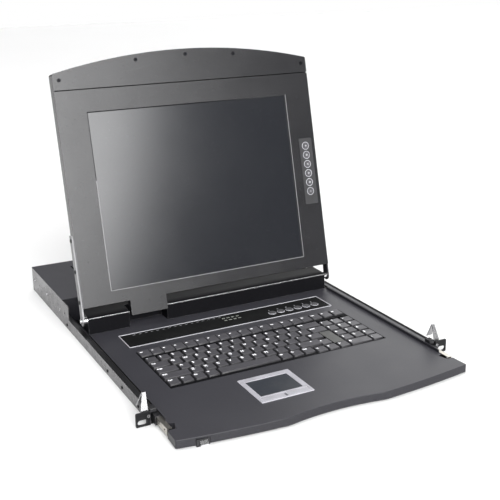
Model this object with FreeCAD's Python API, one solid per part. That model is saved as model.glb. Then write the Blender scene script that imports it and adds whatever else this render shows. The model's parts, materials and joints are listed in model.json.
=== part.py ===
import FreeCAD, Part
import math
import os
from FreeCAD import Vector

# Rackmount LCD console drawer: one rack unit high, pulled out a little, display raised.
# Millimetres.  +X to the user's right, +Y towards the back of the rack, +Z up.
# Pieces are placed from the chassis underside (z = 0) and from the back face of the
# rack ears (y = 0).  The finished model is dropped by slot_rise, so that its origin
# is the middle of the line between the two ear slots.

# ---- rack standard -------------------------------------------------------------
panel_width = 482.6
slot_pitch = 465.1
slot_rise = 5.93
slot_width = 7.0
slot_length = 13.0
unit_height = 42.1

# ---- chassis -------------------------------------------------------------------
ear_reach = 19.3
chassis_depth = 556.0
sheet = 1.2
front_side_height = 17.7
step_y = 341.0
step_corner = 4.0
cover_front_y = 372.0
bulkhead_y = 377.0
top_flange = 9.0
front_flange = 5.0
ear_thickness = 2.0
ear_height = 19.0
side_hole_radius = 1.9
side_hole_y = 362.0
side_hole_z = 22.5
bulkhead_tab = 16.8
board_standoff = 7.0
board_thickness = 1.6
board_side_room = 28.0
board_front_room = 32.6
board_inset = 6.0
board_back_room = 4.0
cable_slot_width = 70.0
cable_slot_height = 14.0

# ---- rear panel pieces -----------------------------------------------------------
port_count = 8
port_pitch = 33.0
port_first_x = -196.0
port_width = 16.4
port_height = 8.4
port_reach = 5.8
port_taper = 1.2
port_body_depth = 12.0
port_flange_width = 31.0
port_flange_height = 12.5
inlet_x = 176.0
inlet_width = 52.0
inlet_height = 26.0
inlet_rim = 2.0
inlet_depth = 24.0
socket_width = 24.0
socket_height = 16.0
socket_depth = 17.0
socket_x = 11.0
socket_pin_reach = 11.5
rocker_width = 11.0
rocker_height = 19.0
rocker_x = -15.0
rocker_pivot_depth = 3.5
rocker_pin_radius = 1.2
rocker_half_swing = 7.0
supply_width = 84.0
supply_front_room = 2.4
supply_back_room = 8.0
supply_height = 34.0

# ---- telescopic rails ------------------------------------------------------------
rail_space = 10.0
rail_bottom = 1.4
rail_height = 14.6
rail_sheet = 1.0
rail_gap = 0.4
rail_lip_step = 1.2
rail_screw_ys = (41.0, 102.0, 161.0, 353.0)
rail_screw_z = 6.2
rail_screw_head_radius = 2.3
rail_screw_head = 0.9
rail_hole_radius = 1.6
outer_rail_start = 2.0
outer_rail_length = 358.0
middle_rail_length = 340.0
inner_rail_length = 366.0
middle_rail_inset = 10.0
inner_rail_holes = 2
inner_rail_hole_pitch = 17.0

# ---- drawer ----------------------------------------------------------------------
pulled_out = 42.0
deck_top = 12.5
deck_sheet = 1.5
deck_edge_round = 0.8
lip_height = 11.0
tray_wall = 2.0
wing_reach = 8.2
wing_round = 2.0
wing_back_y = -47.0
wing_front_y = -74.0
wing_back_inset = 1.5
relief_depth = 8.3
relief_y = -29.0
relief_drop = 4.0
relief_out = 4.5
front_bulge = 17.5
grip_half_width = 72.0
grip_depth = 9.0
grip_blend = 40.0
edge_flange = 4.5
edge_flange_start = -24.0
edge_flange_end = 276.0
drawer_back_y = 322.0
pan_sheet = 1.0

# ---- hinge housing on the drawer's back --------------------------------------------
housing_front_y = 282.0
display_overhang = 6.0
housing_top = 40.0
housing_wall = 2.0
housing_round = 2.5
brow_depth = 14.0
brow_height = 2.6
bead_size = 0.8
bead_ledge = 1.2
hinge_y = 288.0
hinge_z = 34.2
shaft_radius = 3.0
barrel_radius = 3.5
barrel_length = 20.0
running_clearance = 0.05
arm_sheet = 2.0
arm_radius = 8.0
arm_reach = 130.0
arm_screw_inset = 8.0
washer_radius = 5.6

# ---- keyboard, controls and touchpad on the deck -------------------------------------
key_pitch = 19.05
row_pitch = 19.8
key_gap = 0.9
key_taper = 1.3
key_bottom = 7.7
key_top = 14.1
key_travel = 2.0
key_post = 3.0
key_clearance = 0.3
keyboard_x = -169.0
keyboard_y = 56.5
keyboard_depth = 129.0
arrow_drop = 5.0
function_row_depth = 16.5
frame_wall = 1.5
frame_margin = 1.3
frame_floor = 4.0
frame_sheet = 1.2
fit_gap = 0.2
moving_gap = 0.3

strip_x0, strip_x1 = -172.0, 175.5
strip_y0, strip_y1 = 206.0, 255.5
strip_thickness = 3.5
trim_width = 1.2
trim_height = 0.7
port_button_count = 6
port_button_radius = 5.2
port_button_pitch = 15.7
port_button_x = 76.2
port_button_y = 226.0

pad_x0, pad_x1 = -84.8, -6.6
pad_y0, pad_y1 = -40.5, 31.5
pad_rim_left, pad_rim_right = 6.7, 8.2
pad_rim_back, pad_rim_front = 9.7, 15.9
pad_frame_height = 1.2
touch_button_depth = 11.0
touch_button_margin = 3.5
touch_button_split = 2.4
touch_button_travel = 0.8

latch_inset = 33.5
latch_width = 10.4
latch_cheek = 3.8
latch_bottom = 0.3
latch_top = 9.5
latch_roof = 1.5
latch_back = 2.0
latch_depth = 20.0
latch_reach = 4.0
latch_travel = 3.0

# ---- display ---------------------------------------------------------------------------
display_tilt = 13.5
display_half_width = 214.5
display_bottom = 20.0
display_face = 12.7
display_back = 7.3
bezel_thickness = 2.5
seam = 0.6
bezel_top = 342.6
arc_bottom = 344.3
arc_corner = 368.6
arc_apex = 394.2
arc_corner_radius = 3.0
shell_wall = 1.6
shell_round = 2.5
window_half_width = 168.0
window_bottom = 40.2
window_top = 308.2
window_bevel = 1.4
panel_margin = 10.0
panel_thickness = 9.0
tab_x0, tab_x1 = -141.2, -82.3
tab_end = -3.3
tab_back = 6.0
pocket_margin = 1.8
pocket_back_y = 308.0
vent_length = 60.0
vent_width = 3.0
vent_pitch = 8.0
vent_rows = 6

osd_side_gap = 6.1
osd_width = 23.9
osd_v0, osd_v1 = 125.0, 235.0
osd_sheet = 0.8
osd_button_count = 6
osd_button_radius = 4.8
osd_button_pitch = 15.2
osd_button_inset = 12.5
osd_button_top = 222.2
osd_button_rise = 1.8
osd_window = 13.0

# ---- catches on the ears ------------------------------------------------------------------
clip_width = 9.0
clip_top_width = 3.8
clip_top = 41.0
clip_apex_y = 10.0
clip_foot_y = 20.0
clip_foot_z = 19.5
clip_sheet = 0.9
clip_pin_y = 4.2
clip_pin_z = 14.0
clip_pin_radius = 1.2
clip_gap = 1.0
stop_height = 4.7
stop_length = 12.0
stop_width = 7.8

screw_radius = 1.5
screw_head_radius = 3.0
screw_head_height = 1.2
arc_screw_inset = 9.5
arc_screw_x = 82.7
arc_screw_drop = 8.5
arc_edge_screw_drop = 12.0
rivet_radius = 1.3
rivet_z = 12.8

half_chassis = panel_width / 2 - ear_reach
inside_half = half_chassis - sheet
supply_depth = (chassis_depth - sheet - inlet_depth - supply_back_room
                - bulkhead_y - sheet - supply_front_room)
board_width = 2 * inside_half - board_inset - board_side_room - supply_width - 3 * sheet
board_depth = chassis_depth - board_back_room - bulkhead_y - 2 * sheet - board_front_room
deck_half_width = inside_half - rail_space
wing_half_width = deck_half_width + wing_reach
housing_half_width = display_half_width - display_overhang
latch_x = -wing_half_width + latch_inset
clip_x = half_chassis + clip_gap
osd_x1 = display_half_width - osd_side_gap
osd_x0 = osd_x1 - osd_width
osd_button_x = osd_x1 - osd_button_inset
cover_underside = unit_height - sheet
lip_bottom = deck_top - lip_height
rail_top = rail_bottom + rail_height


# ---- small helpers --------------------------------------------------------------------------
def box(x0, x1, y0, y1, z0, z1):
    return Part.makeBox(x1 - x0, y1 - y0, z1 - z0, Vector(x0, y0, z0))


def cylinder_x(radius, x0, x1, y, z):
    return Part.makeCylinder(radius, x1 - x0, Vector(x0, y, z), Vector(1, 0, 0))


def cylinder_y(radius, x, y0, y1, z):
    return Part.makeCylinder(radius, y1 - y0, Vector(x, y0, z), Vector(0, 1, 0))


def cylinder_z(radius, x, y, z0, z1):
    return Part.makeCylinder(radius, z1 - z0, Vector(x, y, z0), Vector(0, 0, 1))


def prism(points, direction):
    wire = Part.makePolygon([Vector(*p) for p in points] + [Vector(*points[0])])
    return Part.Face(wire).extrude(Vector(*direction))


def mirrored(shape):
    return shape.mirror(Vector(0, 0, 0), Vector(1, 0, 0))


def both_sides(shape):
    return Part.makeCompound([shape, mirrored(shape)])


def rounded(shape, radius, wanted):
    edges = [edge for edge in shape.Edges if wanted(edge)]
    return shape.makeFillet(radius, edges)


def upright_at(x, y, tolerance=0.01):
    """True for vertical edges that stand at x, y."""
    def wanted(edge):
        ends = [vertex.Point for vertex in edge.Vertexes]
        if len(ends) != 2 or abs(ends[0].z - ends[1].z) < tolerance:
            return False
        return all(abs(p.x - x) < tolerance and abs(p.y - y) < tolerance for p in ends)
    return wanted


def on_display(shape):
    """Lean a piece that was made upright on the hinge axis back to its resting place."""
    leaned = shape.copy()
    leaned.rotate(Vector(0, 0, 0), Vector(1, 0, 0), -display_tilt)
    leaned.translate(Vector(0, hinge_y, hinge_z))
    return leaned


# ---- chassis ----------------------------------------------------------------------------------
def side_wall():
    """Left wall: low beside the drawer, full height round the electronics."""
    profile = [(-half_chassis, 0, 0), (-half_chassis, chassis_depth, 0),
               (-half_chassis, chassis_depth, cover_underside),
               (-half_chassis, step_y, cover_underside),
               (-half_chassis, step_y, front_side_height),
               (-half_chassis, 0, front_side_height)]
    wall = prism(profile, (sheet, 0, 0))
    wall = rounded(wall, step_corner, lambda e: abs(e.CenterOfMass.y - step_y) < 0.01
                   and abs(e.CenterOfMass.z - cover_underside) < 0.01
                   and abs(e.CenterOfMass.x + half_chassis - sheet / 2) < 0.01)
    wall = wall.cut(cylinder_x(side_hole_radius, -half_chassis, -inside_half, side_hole_y, side_hole_z))
    for y, z in side_screw_places() + rail_screw_places():
        wall = wall.cut(cylinder_x(screw_radius, -half_chassis, -inside_half, y, z))
    pin_hole = cylinder_x(clip_pin_radius, -half_chassis, -inside_half, clip_pin_y, clip_pin_z)
    return wall.cut(pin_hole)


def side_screw_places():
    """Screws that hold the bulkhead and the rear box, one row along each side."""
    z = cover_underside / 2
    span = chassis_depth - bulkhead_y
    return [(bulkhead_y + sheet + span * part, z) for part in (0.065, 0.5, 0.93)]


def rail_screw_places():
    return [(y, rail_screw_z) for y in rail_screw_ys]


def chassis_tray():
    """Folded galvanised tray: base, stepped sides, cover flanges, ear flanges, standoffs."""
    wall = side_wall()
    flange = box(-half_chassis - front_flange, -half_chassis, 0, sheet, sheet, front_side_height - 1)
    flange = flange.cut(rivet_hole())
    shelf = box(-inside_half, -half_chassis + top_flange, bulkhead_y + 3 * sheet,
                chassis_depth - sheet, cover_underside - sheet, cover_underside)
    base = box(-inside_half, inside_half, 0, chassis_depth, 0, sheet)
    pieces = [wall, flange, shelf, mirrored(wall), mirrored(flange), mirrored(shelf)]
    pieces += [cylinder_z(3.2, x, y, sheet, sheet + board_standoff) for x, y in standoff_places()]
    return base.fuse(pieces).removeSplitter()


def rivet_hole():
    """Hole through the ear and the tray's front flange."""
    return cylinder_y(rivet_radius, rivet_x(), -ear_thickness, sheet, rivet_z)


def rivet_x():
    return -half_chassis - front_flange / 2


def board_x0():
    return -inside_half + board_inset


def board_y0():
    return chassis_depth - sheet - board_depth - board_back_room


def standoff_places():
    inset = board_inset
    xs = (board_x0() + inset, board_x0() + board_width - inset)
    ys = (board_y0() + inset, board_y0() + board_depth - inset)
    return [(x, y) for x in xs for y in ys]


def bulkhead():
    """Front wall of the electronics box, with the slot for the drawer's wiring."""
    wall = box(-inside_half, inside_half, bulkhead_y, bulkhead_y + sheet, sheet, cover_underside)
    slot = box(-cable_slot_width / 2, cable_slot_width / 2, bulkhead_y, bulkhead_y + sheet,
               cover_underside / 2, cover_underside / 2 + cable_slot_height)
    tabs = [box(x0, x1, bulkhead_y + sheet, bulkhead_y + sheet + bulkhead_tab, sheet,
                cover_underside - 2 * sheet)
            for x0, x1 in ((-inside_half, -inside_half + sheet), (inside_half - sheet, inside_half))]
    y, z = side_screw_places()[0]
    holes = cylinder_x(screw_radius, -inside_half - 1, inside_half + 1, y, z)
    return wall.cut(slot).fuse(tabs).removeSplitter().cut(holes)


def rear_cover():
    """Black lid of the electronics box, its long edges softly rounded."""
    lid = box(-half_chassis, half_chassis, cover_front_y, chassis_depth, cover_underside, unit_height)
    lid = rounded(lid, sheet * 0.6, lambda e: abs(e.CenterOfMass.z - unit_height) < 0.01)
    grooves = []
    for i in range(12):
        x = -half_chassis + 60 + i * 9
        grooves.append(box(x, x + 3, chassis_depth - 70, chassis_depth - 30, cover_underside, unit_height))
    return lid.cut(grooves)


def rear_panel():
    """Back wall with cut-outs for the ports and the mains inlet."""
    y0 = chassis_depth - sheet
    wall = box(-inside_half, inside_half, y0, chassis_depth, sheet, cover_underside - sheet)
    cuts = [box(x - port_width / 2 - fit_gap, x + port_width / 2 + fit_gap, y0, chassis_depth,
                port_z() - port_height / 2 - fit_gap, port_z() + port_height / 2 + fit_gap)
            for x in port_xs()]
    cuts.append(box(inlet_x - inlet_width / 2, inlet_x + inlet_width / 2, y0, chassis_depth,
                    inlet_z() - inlet_height / 2, inlet_z() + inlet_height / 2))
    return wall.cut(cuts)


def port_xs():
    return [port_first_x + i * port_pitch for i in range(port_count)]


def port_z():
    return sheet + board_standoff + board_thickness + port_flange_height / 2


def inlet_z():
    return unit_height / 2


def computer_ports():
    """Fifteen-way sockets for the computers, standing on the board's back edge."""
    y0 = chassis_depth - sheet
    sockets = []
    for x in port_xs():
        body = box(x - port_flange_width / 2, x + port_flange_width / 2, y0 - port_body_depth, y0,
                   port_z() - port_flange_height / 2, port_z() + port_flange_height / 2)
        z0, z1 = port_z() - port_height / 2, port_z() + port_height / 2
        half = port_width / 2
        shell = prism([(x - half, y0, z1), (x + half, y0, z1),
                       (x + half - port_taper, y0, z0), (x - half + port_taper, y0, z0)],
                      (0, sheet + port_reach, 0))
        sockets.append(body.fuse(shell))
    return Part.makeCompound(sockets)


def switch_board():
    """Circuit board of the computer switch, on its standoffs."""
    z = sheet + board_standoff
    board = box(board_x0(), board_x0() + board_width, board_y0(), board_y0() + board_depth,
                z, z + board_thickness)
    return board


def power_supply():
    """Enclosed mains supply beside the board."""
    x1 = inside_half - 3 * sheet
    y1 = chassis_depth - sheet - inlet_depth - supply_back_room
    can = box(x1 - supply_width, x1, y1 - supply_depth, y1, sheet, sheet + supply_height)
    slots = [box(x1 - supply_width + 10, x1 - 10, y, y + 3, supply_height - 1.5, sheet + supply_height)
             for y in [y1 - supply_depth + 14 + 9 * i for i in range(6)]]
    return can.cut(slots)


def power_inlet():
    """Moulded mains socket with room for the rocker switch."""
    y1 = chassis_depth + inlet_rim
    z = inlet_z()
    rim = box(inlet_x - inlet_width / 2 - 2, inlet_x + inlet_width / 2 + 2, chassis_depth, y1,
              z - inlet_height / 2 - 2, z + inlet_height / 2 + 2)
    body = box(inlet_x - inlet_width / 2 + fit_gap, inlet_x + inlet_width / 2 - fit_gap,
               chassis_depth - inlet_depth, chassis_depth,
               z - inlet_height / 2 + fit_gap, z + inlet_height / 2 - fit_gap)
    moulding = rounded(rim, 1.5, lambda e: abs(e.CenterOfMass.y - (chassis_depth + inlet_rim / 2)) < 0.01)
    moulding = moulding.fuse(body)
    cx = inlet_x + socket_x
    w, h, c = socket_width / 2, socket_height / 2, 4.0
    y0 = y1 - socket_depth
    cavity = prism([(cx - w, y0, z - h), (cx + w, y0, z - h), (cx + w, y0, z + h - c),
                    (cx + w - c, y0, z + h), (cx - w + c, y0, z + h), (cx - w, y0, z + h - c)],
                   (0, socket_depth, 0))
    pins = [box(cx + dx - 1, cx + dx + 1, y0, y0 + socket_pin_reach, z + dz - 2, z + dz + 2)
            for dx, dz in ((-7, -2), (0, 2), (7, -2))]
    rx = inlet_x + rocker_x
    gap = 2 * moving_gap
    well = box(rx - rocker_width / 2 - moving_gap, rx + rocker_width / 2 + moving_gap, y1 - 12, y1,
               z - rocker_height / 2 - gap, z + rocker_height / 2 + gap)
    axle = cylinder_x(rocker_pin_radius, rx - rocker_width / 2 - 2, rx + rocker_width / 2 + 2,
                      y1 - rocker_pivot_depth, z)
    return moulding.cut([cavity, well]).fuse(pins + [axle]).removeSplitter()


def power_rocker():
    """Rocker of the mains switch, resting with its upper half in."""
    y1 = chassis_depth + inlet_rim
    z = inlet_z()
    py = y1 - rocker_pivot_depth
    rx = inlet_x + rocker_x
    x0 = rx - rocker_width / 2
    half = rocker_height / 2
    profile = [(x0, py - 3.2, z - 5), (x0, py + 0.6, z - half),
               (x0, py + rocker_pivot_depth + 1.2, z - half),
               (x0, py + rocker_pivot_depth - 0.6, z), (x0, py + rocker_pivot_depth + 1.2, z + half),
               (x0, py + 0.6, z + half), (x0, py - 3.2, z + 5)]
    rocker = prism(profile, (rocker_width, 0, 0))
    bore = cylinder_x(rocker_pin_radius + running_clearance, x0 - 1, x0 + rocker_width + 1, py, z)
    rocker = rocker.cut(bore)
    rocker.rotate(Vector(rx, py, z), Vector(1, 0, 0), rocker_half_swing)
    return rocker


# ---- ears, catches and fixings -----------------------------------------------------------------
def rack_ear():
    """Left ear: black plate with one open-to-standard slot, riveted to the tray's flange."""
    x0, x1 = -panel_width / 2, -half_chassis
    plate = box(x0, x1, -ear_thickness, 0, 0, ear_height)
    plate = rounded(plate, 2.0, lambda e: abs(e.CenterOfMass.x - x0) < 0.01
                    and abs(e.CenterOfMass.y + ear_thickness / 2) < 0.01)
    cx = -slot_pitch / 2
    reach = (slot_length - slot_width) / 2
    slot = box(cx - reach, cx + reach, -ear_thickness, 0,
               slot_rise - slot_width / 2, slot_rise + slot_width / 2)
    for dx in (-reach, reach):
        slot = slot.fuse(cylinder_y(slot_width / 2, cx + dx, -ear_thickness, 0, slot_rise))
    return plate.cut(slot.removeSplitter()).cut(rivet_hole())


def release_clip():
    """Left catch: spring steel rolled round its pin, folded to an inverted V, its outer edge sloping."""
    s = clip_sheet
    eye = clip_pin_radius + running_clearance + s
    x0, x1 = -clip_x - clip_width, -clip_x
    front = clip_pin_y - eye
    profile = [(x0, front, clip_pin_z), (x0, clip_apex_y - 1.2 * s, clip_top),
               (x0, clip_apex_y + 1.2 * s, clip_top), (x0, clip_foot_y, clip_foot_z + 2),
               (x0, clip_foot_y + 2, clip_foot_z), (x0, clip_foot_y + 1, clip_foot_z - 0.6),
               (x0, clip_foot_y - 1.1, clip_foot_z + 1.4), (x0, clip_apex_y, clip_top - 2 * s),
               (x0, front + s * 1.05, clip_pin_z)]
    strip = prism(profile, (clip_width, 0, 0))
    strip = strip.fuse(cylinder_x(eye, x0, x1, clip_pin_y, clip_pin_z))
    strip = strip.cut(cylinder_x(eye - s, x0, x1, clip_pin_y, clip_pin_z))
    low, high = clip_pin_z - 2 * eye, clip_top + s
    mask = prism([(x0, 0, low), (x1, 0, low), (x1, 0, high), (x1 - clip_top_width, 0, high),
                  (x0, 0, clip_foot_z)], (0, 2 * clip_foot_y, 0))
    return strip.common(mask)


def rail_stops():
    """Black blocks on the front ends of the fixed rails."""
    x0 = -inside_half + moving_gap / 3
    block = box(x0, x0 + stop_width, 0, stop_length, rail_top, rail_top + stop_height)
    block = rounded(block, 1.5, lambda e: abs(e.CenterOfMass.z - rail_top - stop_height) < 0.01
                    and abs(e.CenterOfMass.x - x0 - stop_width / 2) < 0.01)
    return both_sides(block)


def rail_screws():
    """Black screws that hold the fixed rails to the chassis sides."""
    pieces = []
    for y, z in rail_screw_places():
        shank = cylinder_x(screw_radius, -half_chassis, -inside_half, y, z)
        head = cylinder_x(rail_screw_head_radius, -half_chassis - rail_screw_head, -half_chassis, y, z)
        head = head.makeChamfer(rail_screw_head / 3, outer_rims(head, -half_chassis - rail_screw_head))
        pieces.append(head.fuse(shank))
    return Part.makeCompound(pieces + [mirrored(piece) for piece in pieces])


def outer_rims(head, x):
    return [edge for edge in head.Edges if abs(edge.CenterOfMass.x - x) < 0.01]


def chassis_fasteners():
    """Side screws, ear rivets and the pins of the two catches, as separate solids."""
    pieces = []
    for y, z in side_screw_places():
        shank = cylinder_x(screw_radius, -half_chassis, -inside_half, y, z)
        head = cylinder_x(screw_head_radius, -half_chassis - screw_head_height, -half_chassis, y, z)
        head = head.makeChamfer(screw_head_height / 3, outer_rims(head, -half_chassis - screw_head_height))
        pieces.append(head.fuse(shank))
    rivet_head = cylinder_y(1.5 * rivet_radius, rivet_x(), -1.3 * ear_thickness, -ear_thickness, rivet_z)
    pieces.append(rivet_hole().fuse(rivet_head))
    pieces.append(cylinder_x(clip_pin_radius, -clip_x - clip_width - 1, -inside_half,
                             clip_pin_y, clip_pin_z))
    return Part.makeCompound(pieces + [mirrored(piece) for piece in pieces])


# ---- telescopic rails ----------------------------------------------------------------------------
def channel(web_x, lip_x, z0, z1, y0, y1):
    """Left rail section: a web with a lip along its top and its bottom edge."""
    step = math.copysign(rail_sheet, lip_x - web_x)
    profile = [(web_x, y0, z0), (lip_x, y0, z0), (lip_x, y0, z0 + rail_sheet),
               (web_x + step, y0, z0 + rail_sheet), (web_x + step, y0, z1 - rail_sheet),
               (lip_x, y0, z1 - rail_sheet), (lip_x, y0, z1), (web_x, y0, z1)]
    return prism(profile, (0, y1 - y0, 0))


def nested_rail(depth, y0, y1):
    """Left rail member: 0 is fixed to the chassis, 1 runs in it, 2 is fixed to the drawer."""
    web = -inside_half + depth * (rail_sheet + 2 * rail_gap)
    lip = -deck_half_width - (2 - depth) * rail_lip_step
    step = depth * (rail_sheet + rail_gap)
    return channel(web, lip, rail_bottom + step, rail_top - step, y0, y1)


def outer_rails():
    return both_sides(nested_rail(0, outer_rail_start, outer_rail_start + outer_rail_length))


def middle_rails():
    y1 = outer_rail_start + outer_rail_length - middle_rail_inset - pulled_out / 2
    return both_sides(nested_rail(1, y1 - middle_rail_length, y1))


def inner_rails():
    """Drawer members; their lips meet the drawer's sides and their webs face out."""
    y0 = drawer_back_y - inner_rail_length
    rail = nested_rail(2, y0, drawer_back_y)
    for i in range(inner_rail_holes):
        y = y0 + inner_rail_hole_pitch * (i + 0.5)
        z = (rail_bottom + rail_top) / 2
        rail = rail.cut(cylinder_x(rail_hole_radius, -inside_half, -deck_half_width, y, z))
    return both_sides(rail)


# ---- drawer ----------------------------------------------------------------------------------------
def bulge_y(x):
    """Front edge of the deck before the hand grip is cut into it."""
    return wing_front_y - front_bulge * (1 - (x / wing_half_width) ** 2)


def tray_outline(inset=0.0):
    """Plan of the drawer: straight sides, relief behind each wing, bulged front with a grip."""
    w = deck_half_width
    right = [Vector(w, drawer_back_y, 0), Vector(w, relief_y, 0),
             Vector(w - relief_depth, relief_y - relief_drop, 0),
             Vector(w - relief_depth + relief_out, wing_back_y, 0),
             Vector(wing_half_width - wing_back_inset, wing_back_y, 0),
             Vector(wing_half_width, wing_front_y, 0)]
    left = [Vector(-p.x, p.y, 0) for p in right]
    grip_y = bulge_y(grip_half_width)
    middle_x = (wing_half_width + grip_half_width) / 2
    edges = [Part.makeLine(a, b) for a, b in zip(right, right[1:])]
    edges.append(Part.Arc(right[-1], Vector(middle_x, bulge_y(middle_x), 0),
                          Vector(grip_half_width, grip_y, 0)).toShape())
    edges.append(Part.Arc(Vector(grip_half_width, grip_y, 0), Vector(0, bulge_y(0) + grip_depth, 0),
                          Vector(-grip_half_width, grip_y, 0)).toShape())
    edges.append(Part.Arc(Vector(-grip_half_width, grip_y, 0), Vector(-middle_x, bulge_y(middle_x), 0),
                          left[-1]).toShape())
    edges += [Part.makeLine(b, a) for a, b in zip(left, left[1:])][::-1]
    edges.append(Part.makeLine(left[0], right[0]))
    face = Part.Face(Part.Wire(Part.__sortEdges__(edges)))
    if inset:
        face = face.makeOffset2D(-inset)
    return face


def slab(face, z0, z1):
    lifted = face.copy()
    lifted.translate(Vector(0, 0, z0))
    return lifted.extrude(Vector(0, 0, z1 - z0))


def drawer_tray():
    """Black deck with its wavy front lip, side walls and upturned edge flanges."""
    body = slab(tray_outline(), lip_bottom, deck_top)
    grip_y = bulge_y(grip_half_width)
    for x in (-grip_half_width, grip_half_width):
        body = rounded(body, grip_blend, upright_at(x, grip_y))
    for x in (-wing_half_width, wing_half_width):
        body = rounded(body, wing_round, upright_at(x, wing_front_y))
    body = rounded(body, deck_edge_round, lambda e: abs(e.CenterOfMass.z - deck_top) < 0.01
                   and e.CenterOfMass.y < wing_back_y - 1)
    body = body.cut(slab(tray_outline(tray_wall), lip_bottom, deck_top - deck_sheet))
    flange = box(-deck_half_width, -deck_half_width + sheet, edge_flange_start, edge_flange_end,
                 deck_top, deck_top + edge_flange)
    body = body.fuse([flange, mirrored(flange)])
    kx0, kx1, ky0, ky1 = keyboard_box(frame_margin)
    openings = [box(kx0 - fit_gap, kx1 + fit_gap, ky0 - fit_gap, ky1 + fit_gap, lip_bottom, deck_top),
                box(strip_x0 + 1, strip_x1 - 1, strip_y0 + 1, strip_y1 - 1, lip_bottom, deck_top),
                box(pad_x0 + trim_width, pad_x1 - trim_width, pad_y0 + trim_width,
                    pad_y1 - trim_width, lip_bottom, deck_top),
                latch_space()]
    return body.cut(openings).removeSplitter()


def drawer_pan():
    """Thin steel bottom that closes the drawer from below."""
    pan = slab(tray_outline(tray_wall + fit_gap), lip_bottom, lip_bottom + pan_sheet)
    return pan.cut(latch_space(fit_gap))


def hinge_pocket():
    """Room in the housing for the display's cable tab to turn."""
    return box(tab_x0 - pocket_margin, tab_x1 + pocket_margin, housing_front_y, pocket_back_y,
               deck_top, housing_top)


def housing_section():
    """Side view: upright front, a narrow bead, a rounded brow and the flat top."""
    x, y0, y1, top = -housing_half_width, housing_front_y, drawer_back_y, housing_top
    bead_z = top - brow_height
    brow_y = y0 + bead_size + bead_ledge
    run = brow_depth - bead_size - bead_ledge
    radius = (run ** 2 + brow_height ** 2) / (2 * brow_height)
    half_turn = math.asin(run / radius) / 2
    middle = Vector(x, y0 + brow_depth - radius * math.sin(half_turn),
                    top - radius * (1 - math.cos(half_turn)))
    corners = [Vector(x, y0 + brow_depth, top), Vector(x, y1, top), Vector(x, y1, deck_top),
               Vector(x, y0, deck_top), Vector(x, y0, bead_z - bead_size),
               Vector(x, y0 + bead_size, bead_z), Vector(x, brow_y, bead_z)]
    edges = [Part.makeLine(a, b) for a, b in zip(corners, corners[1:])]
    edges.append(Part.Arc(corners[-1], middle, corners[0]).toShape())
    return Part.Face(Part.Wire(edges))


def hinge_room(x0, x1):
    """Hollow on one side of the pocket, close round the shaft's barrel under the brow."""
    y0, y1 = housing_front_y + housing_wall, drawer_back_y - housing_wall
    low = box(x0, x1, y0, y1, deck_top, hinge_z)
    high = box(x0, x1, housing_front_y + brow_depth, y1, hinge_z, housing_top - housing_wall)
    return low.fuse([high, cylinder_x(barrel_radius + fit_gap, x0, x1, hinge_y, hinge_z)])


def hinge_housing():
    """Raised box across the drawer's back that carries the display hinges."""
    w, t = housing_half_width, housing_wall
    shell = housing_section().extrude(Vector(2 * w, 0, 0))
    shell = rounded(shell, housing_round, lambda e: abs(e.CenterOfMass.z - housing_top) < 0.01
                    and abs(e.CenterOfMass.y - drawer_back_y) < 0.01)
    x0, x1 = tab_x0 - pocket_margin, tab_x1 + pocket_margin
    rooms = [hinge_room(-w + t, x0 - t), hinge_room(x1 + t, w - t),
             box(x0, x1, pocket_back_y + t, drawer_back_y - t, deck_top, housing_top - t),
             hinge_pocket()]
    for side in (-1, 1):
        x = side * (w - t / 2)
        rooms.append(cylinder_x(shaft_radius + running_clearance, x - t, x + t, hinge_y, hinge_z))
    return shell.cut(rooms)


def hinge_shafts():
    """Stepped friction shafts: barrel inside the housing, washer and pin outside it."""
    w, t = housing_half_width, housing_wall
    end = display_half_width + arm_sheet + 2.2
    barrel = cylinder_x(barrel_radius, w - t - fit_gap - barrel_length, w - t - fit_gap, hinge_y, hinge_z)
    washer = cylinder_x(washer_radius, w + fit_gap, display_half_width - moving_gap, hinge_y, hinge_z)
    pin = cylinder_x(shaft_radius, w - t - 1, end, hinge_y, hinge_z)
    return both_sides(barrel.fuse([washer, pin]).removeSplitter())


def latch_span():
    return latch_x - latch_width / 2 - latch_cheek, latch_x + latch_width / 2 + latch_cheek


def latch_front_y():
    return bulge_y(latch_x) - 1.5


def latch_space(extra=0.0):
    x0, x1 = latch_span()
    return box(x0 - fit_gap - extra, x1 + fit_gap + extra, latch_front_y() - 10,
               latch_front_y() + latch_depth + fit_gap + extra, latch_bottom - 1, latch_top + fit_gap)


def latch_housing():
    """Black guide of the front catch, two cheeks joined above and behind the slide."""
    x0, x1 = latch_span()
    y0 = latch_front_y()
    block = box(x0, x1, y0, y0 + latch_depth, latch_bottom, latch_top)
    block = rounded(block, 1.2, lambda e: abs(e.CenterOfMass.y - y0) < 0.01 and e.Length < x1 - x0 - 1)
    way = box(latch_x - latch_width / 2 - moving_gap, latch_x + latch_width / 2 + moving_gap,
              y0, y0 + latch_depth - latch_back, latch_bottom, latch_top - latch_roof)
    return block.cut(way)


def front_latch():
    """Steel slide of the front catch with a sloping thumb face."""
    y0 = latch_front_y() - latch_reach
    y1 = latch_front_y() + latch_depth - latch_back - latch_travel - 1
    z0, z1 = latch_bottom + moving_gap, latch_top - latch_roof - moving_gap
    x0 = latch_x - latch_width / 2
    profile = [(x0, y0 + 1.5, z0), (x0, y1, z0), (x0, y1, z1), (x0, y0 + 3.5, z1), (x0, y0, z0 + 3)]
    slide = prism(profile, (latch_width, 0, 0))
    groove = box(x0 + 2, x0 + latch_width - 2, y0 + latch_reach + 1, y1 - 2, z0, z0 + 1.5)
    return slide.cut(groove)


# ---- keyboard ------------------------------------------------------------------------------------------
main_rows = {
    "upper": [1.5] + [1] * 12 + [1.5],
    "number": [1] * 13 + [2],
    "home": [1.75] + [1] * 11 + [1.25],
    "lower": [2.25] + [1] * 10 + [0.75],
    "bottom": [1, 1, 1, 1, 5, 1, 1, 1],
}
row_order = ("bottom", "lower", "home", "upper", "number")
main_columns = 15
pad_columns = 3


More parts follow.
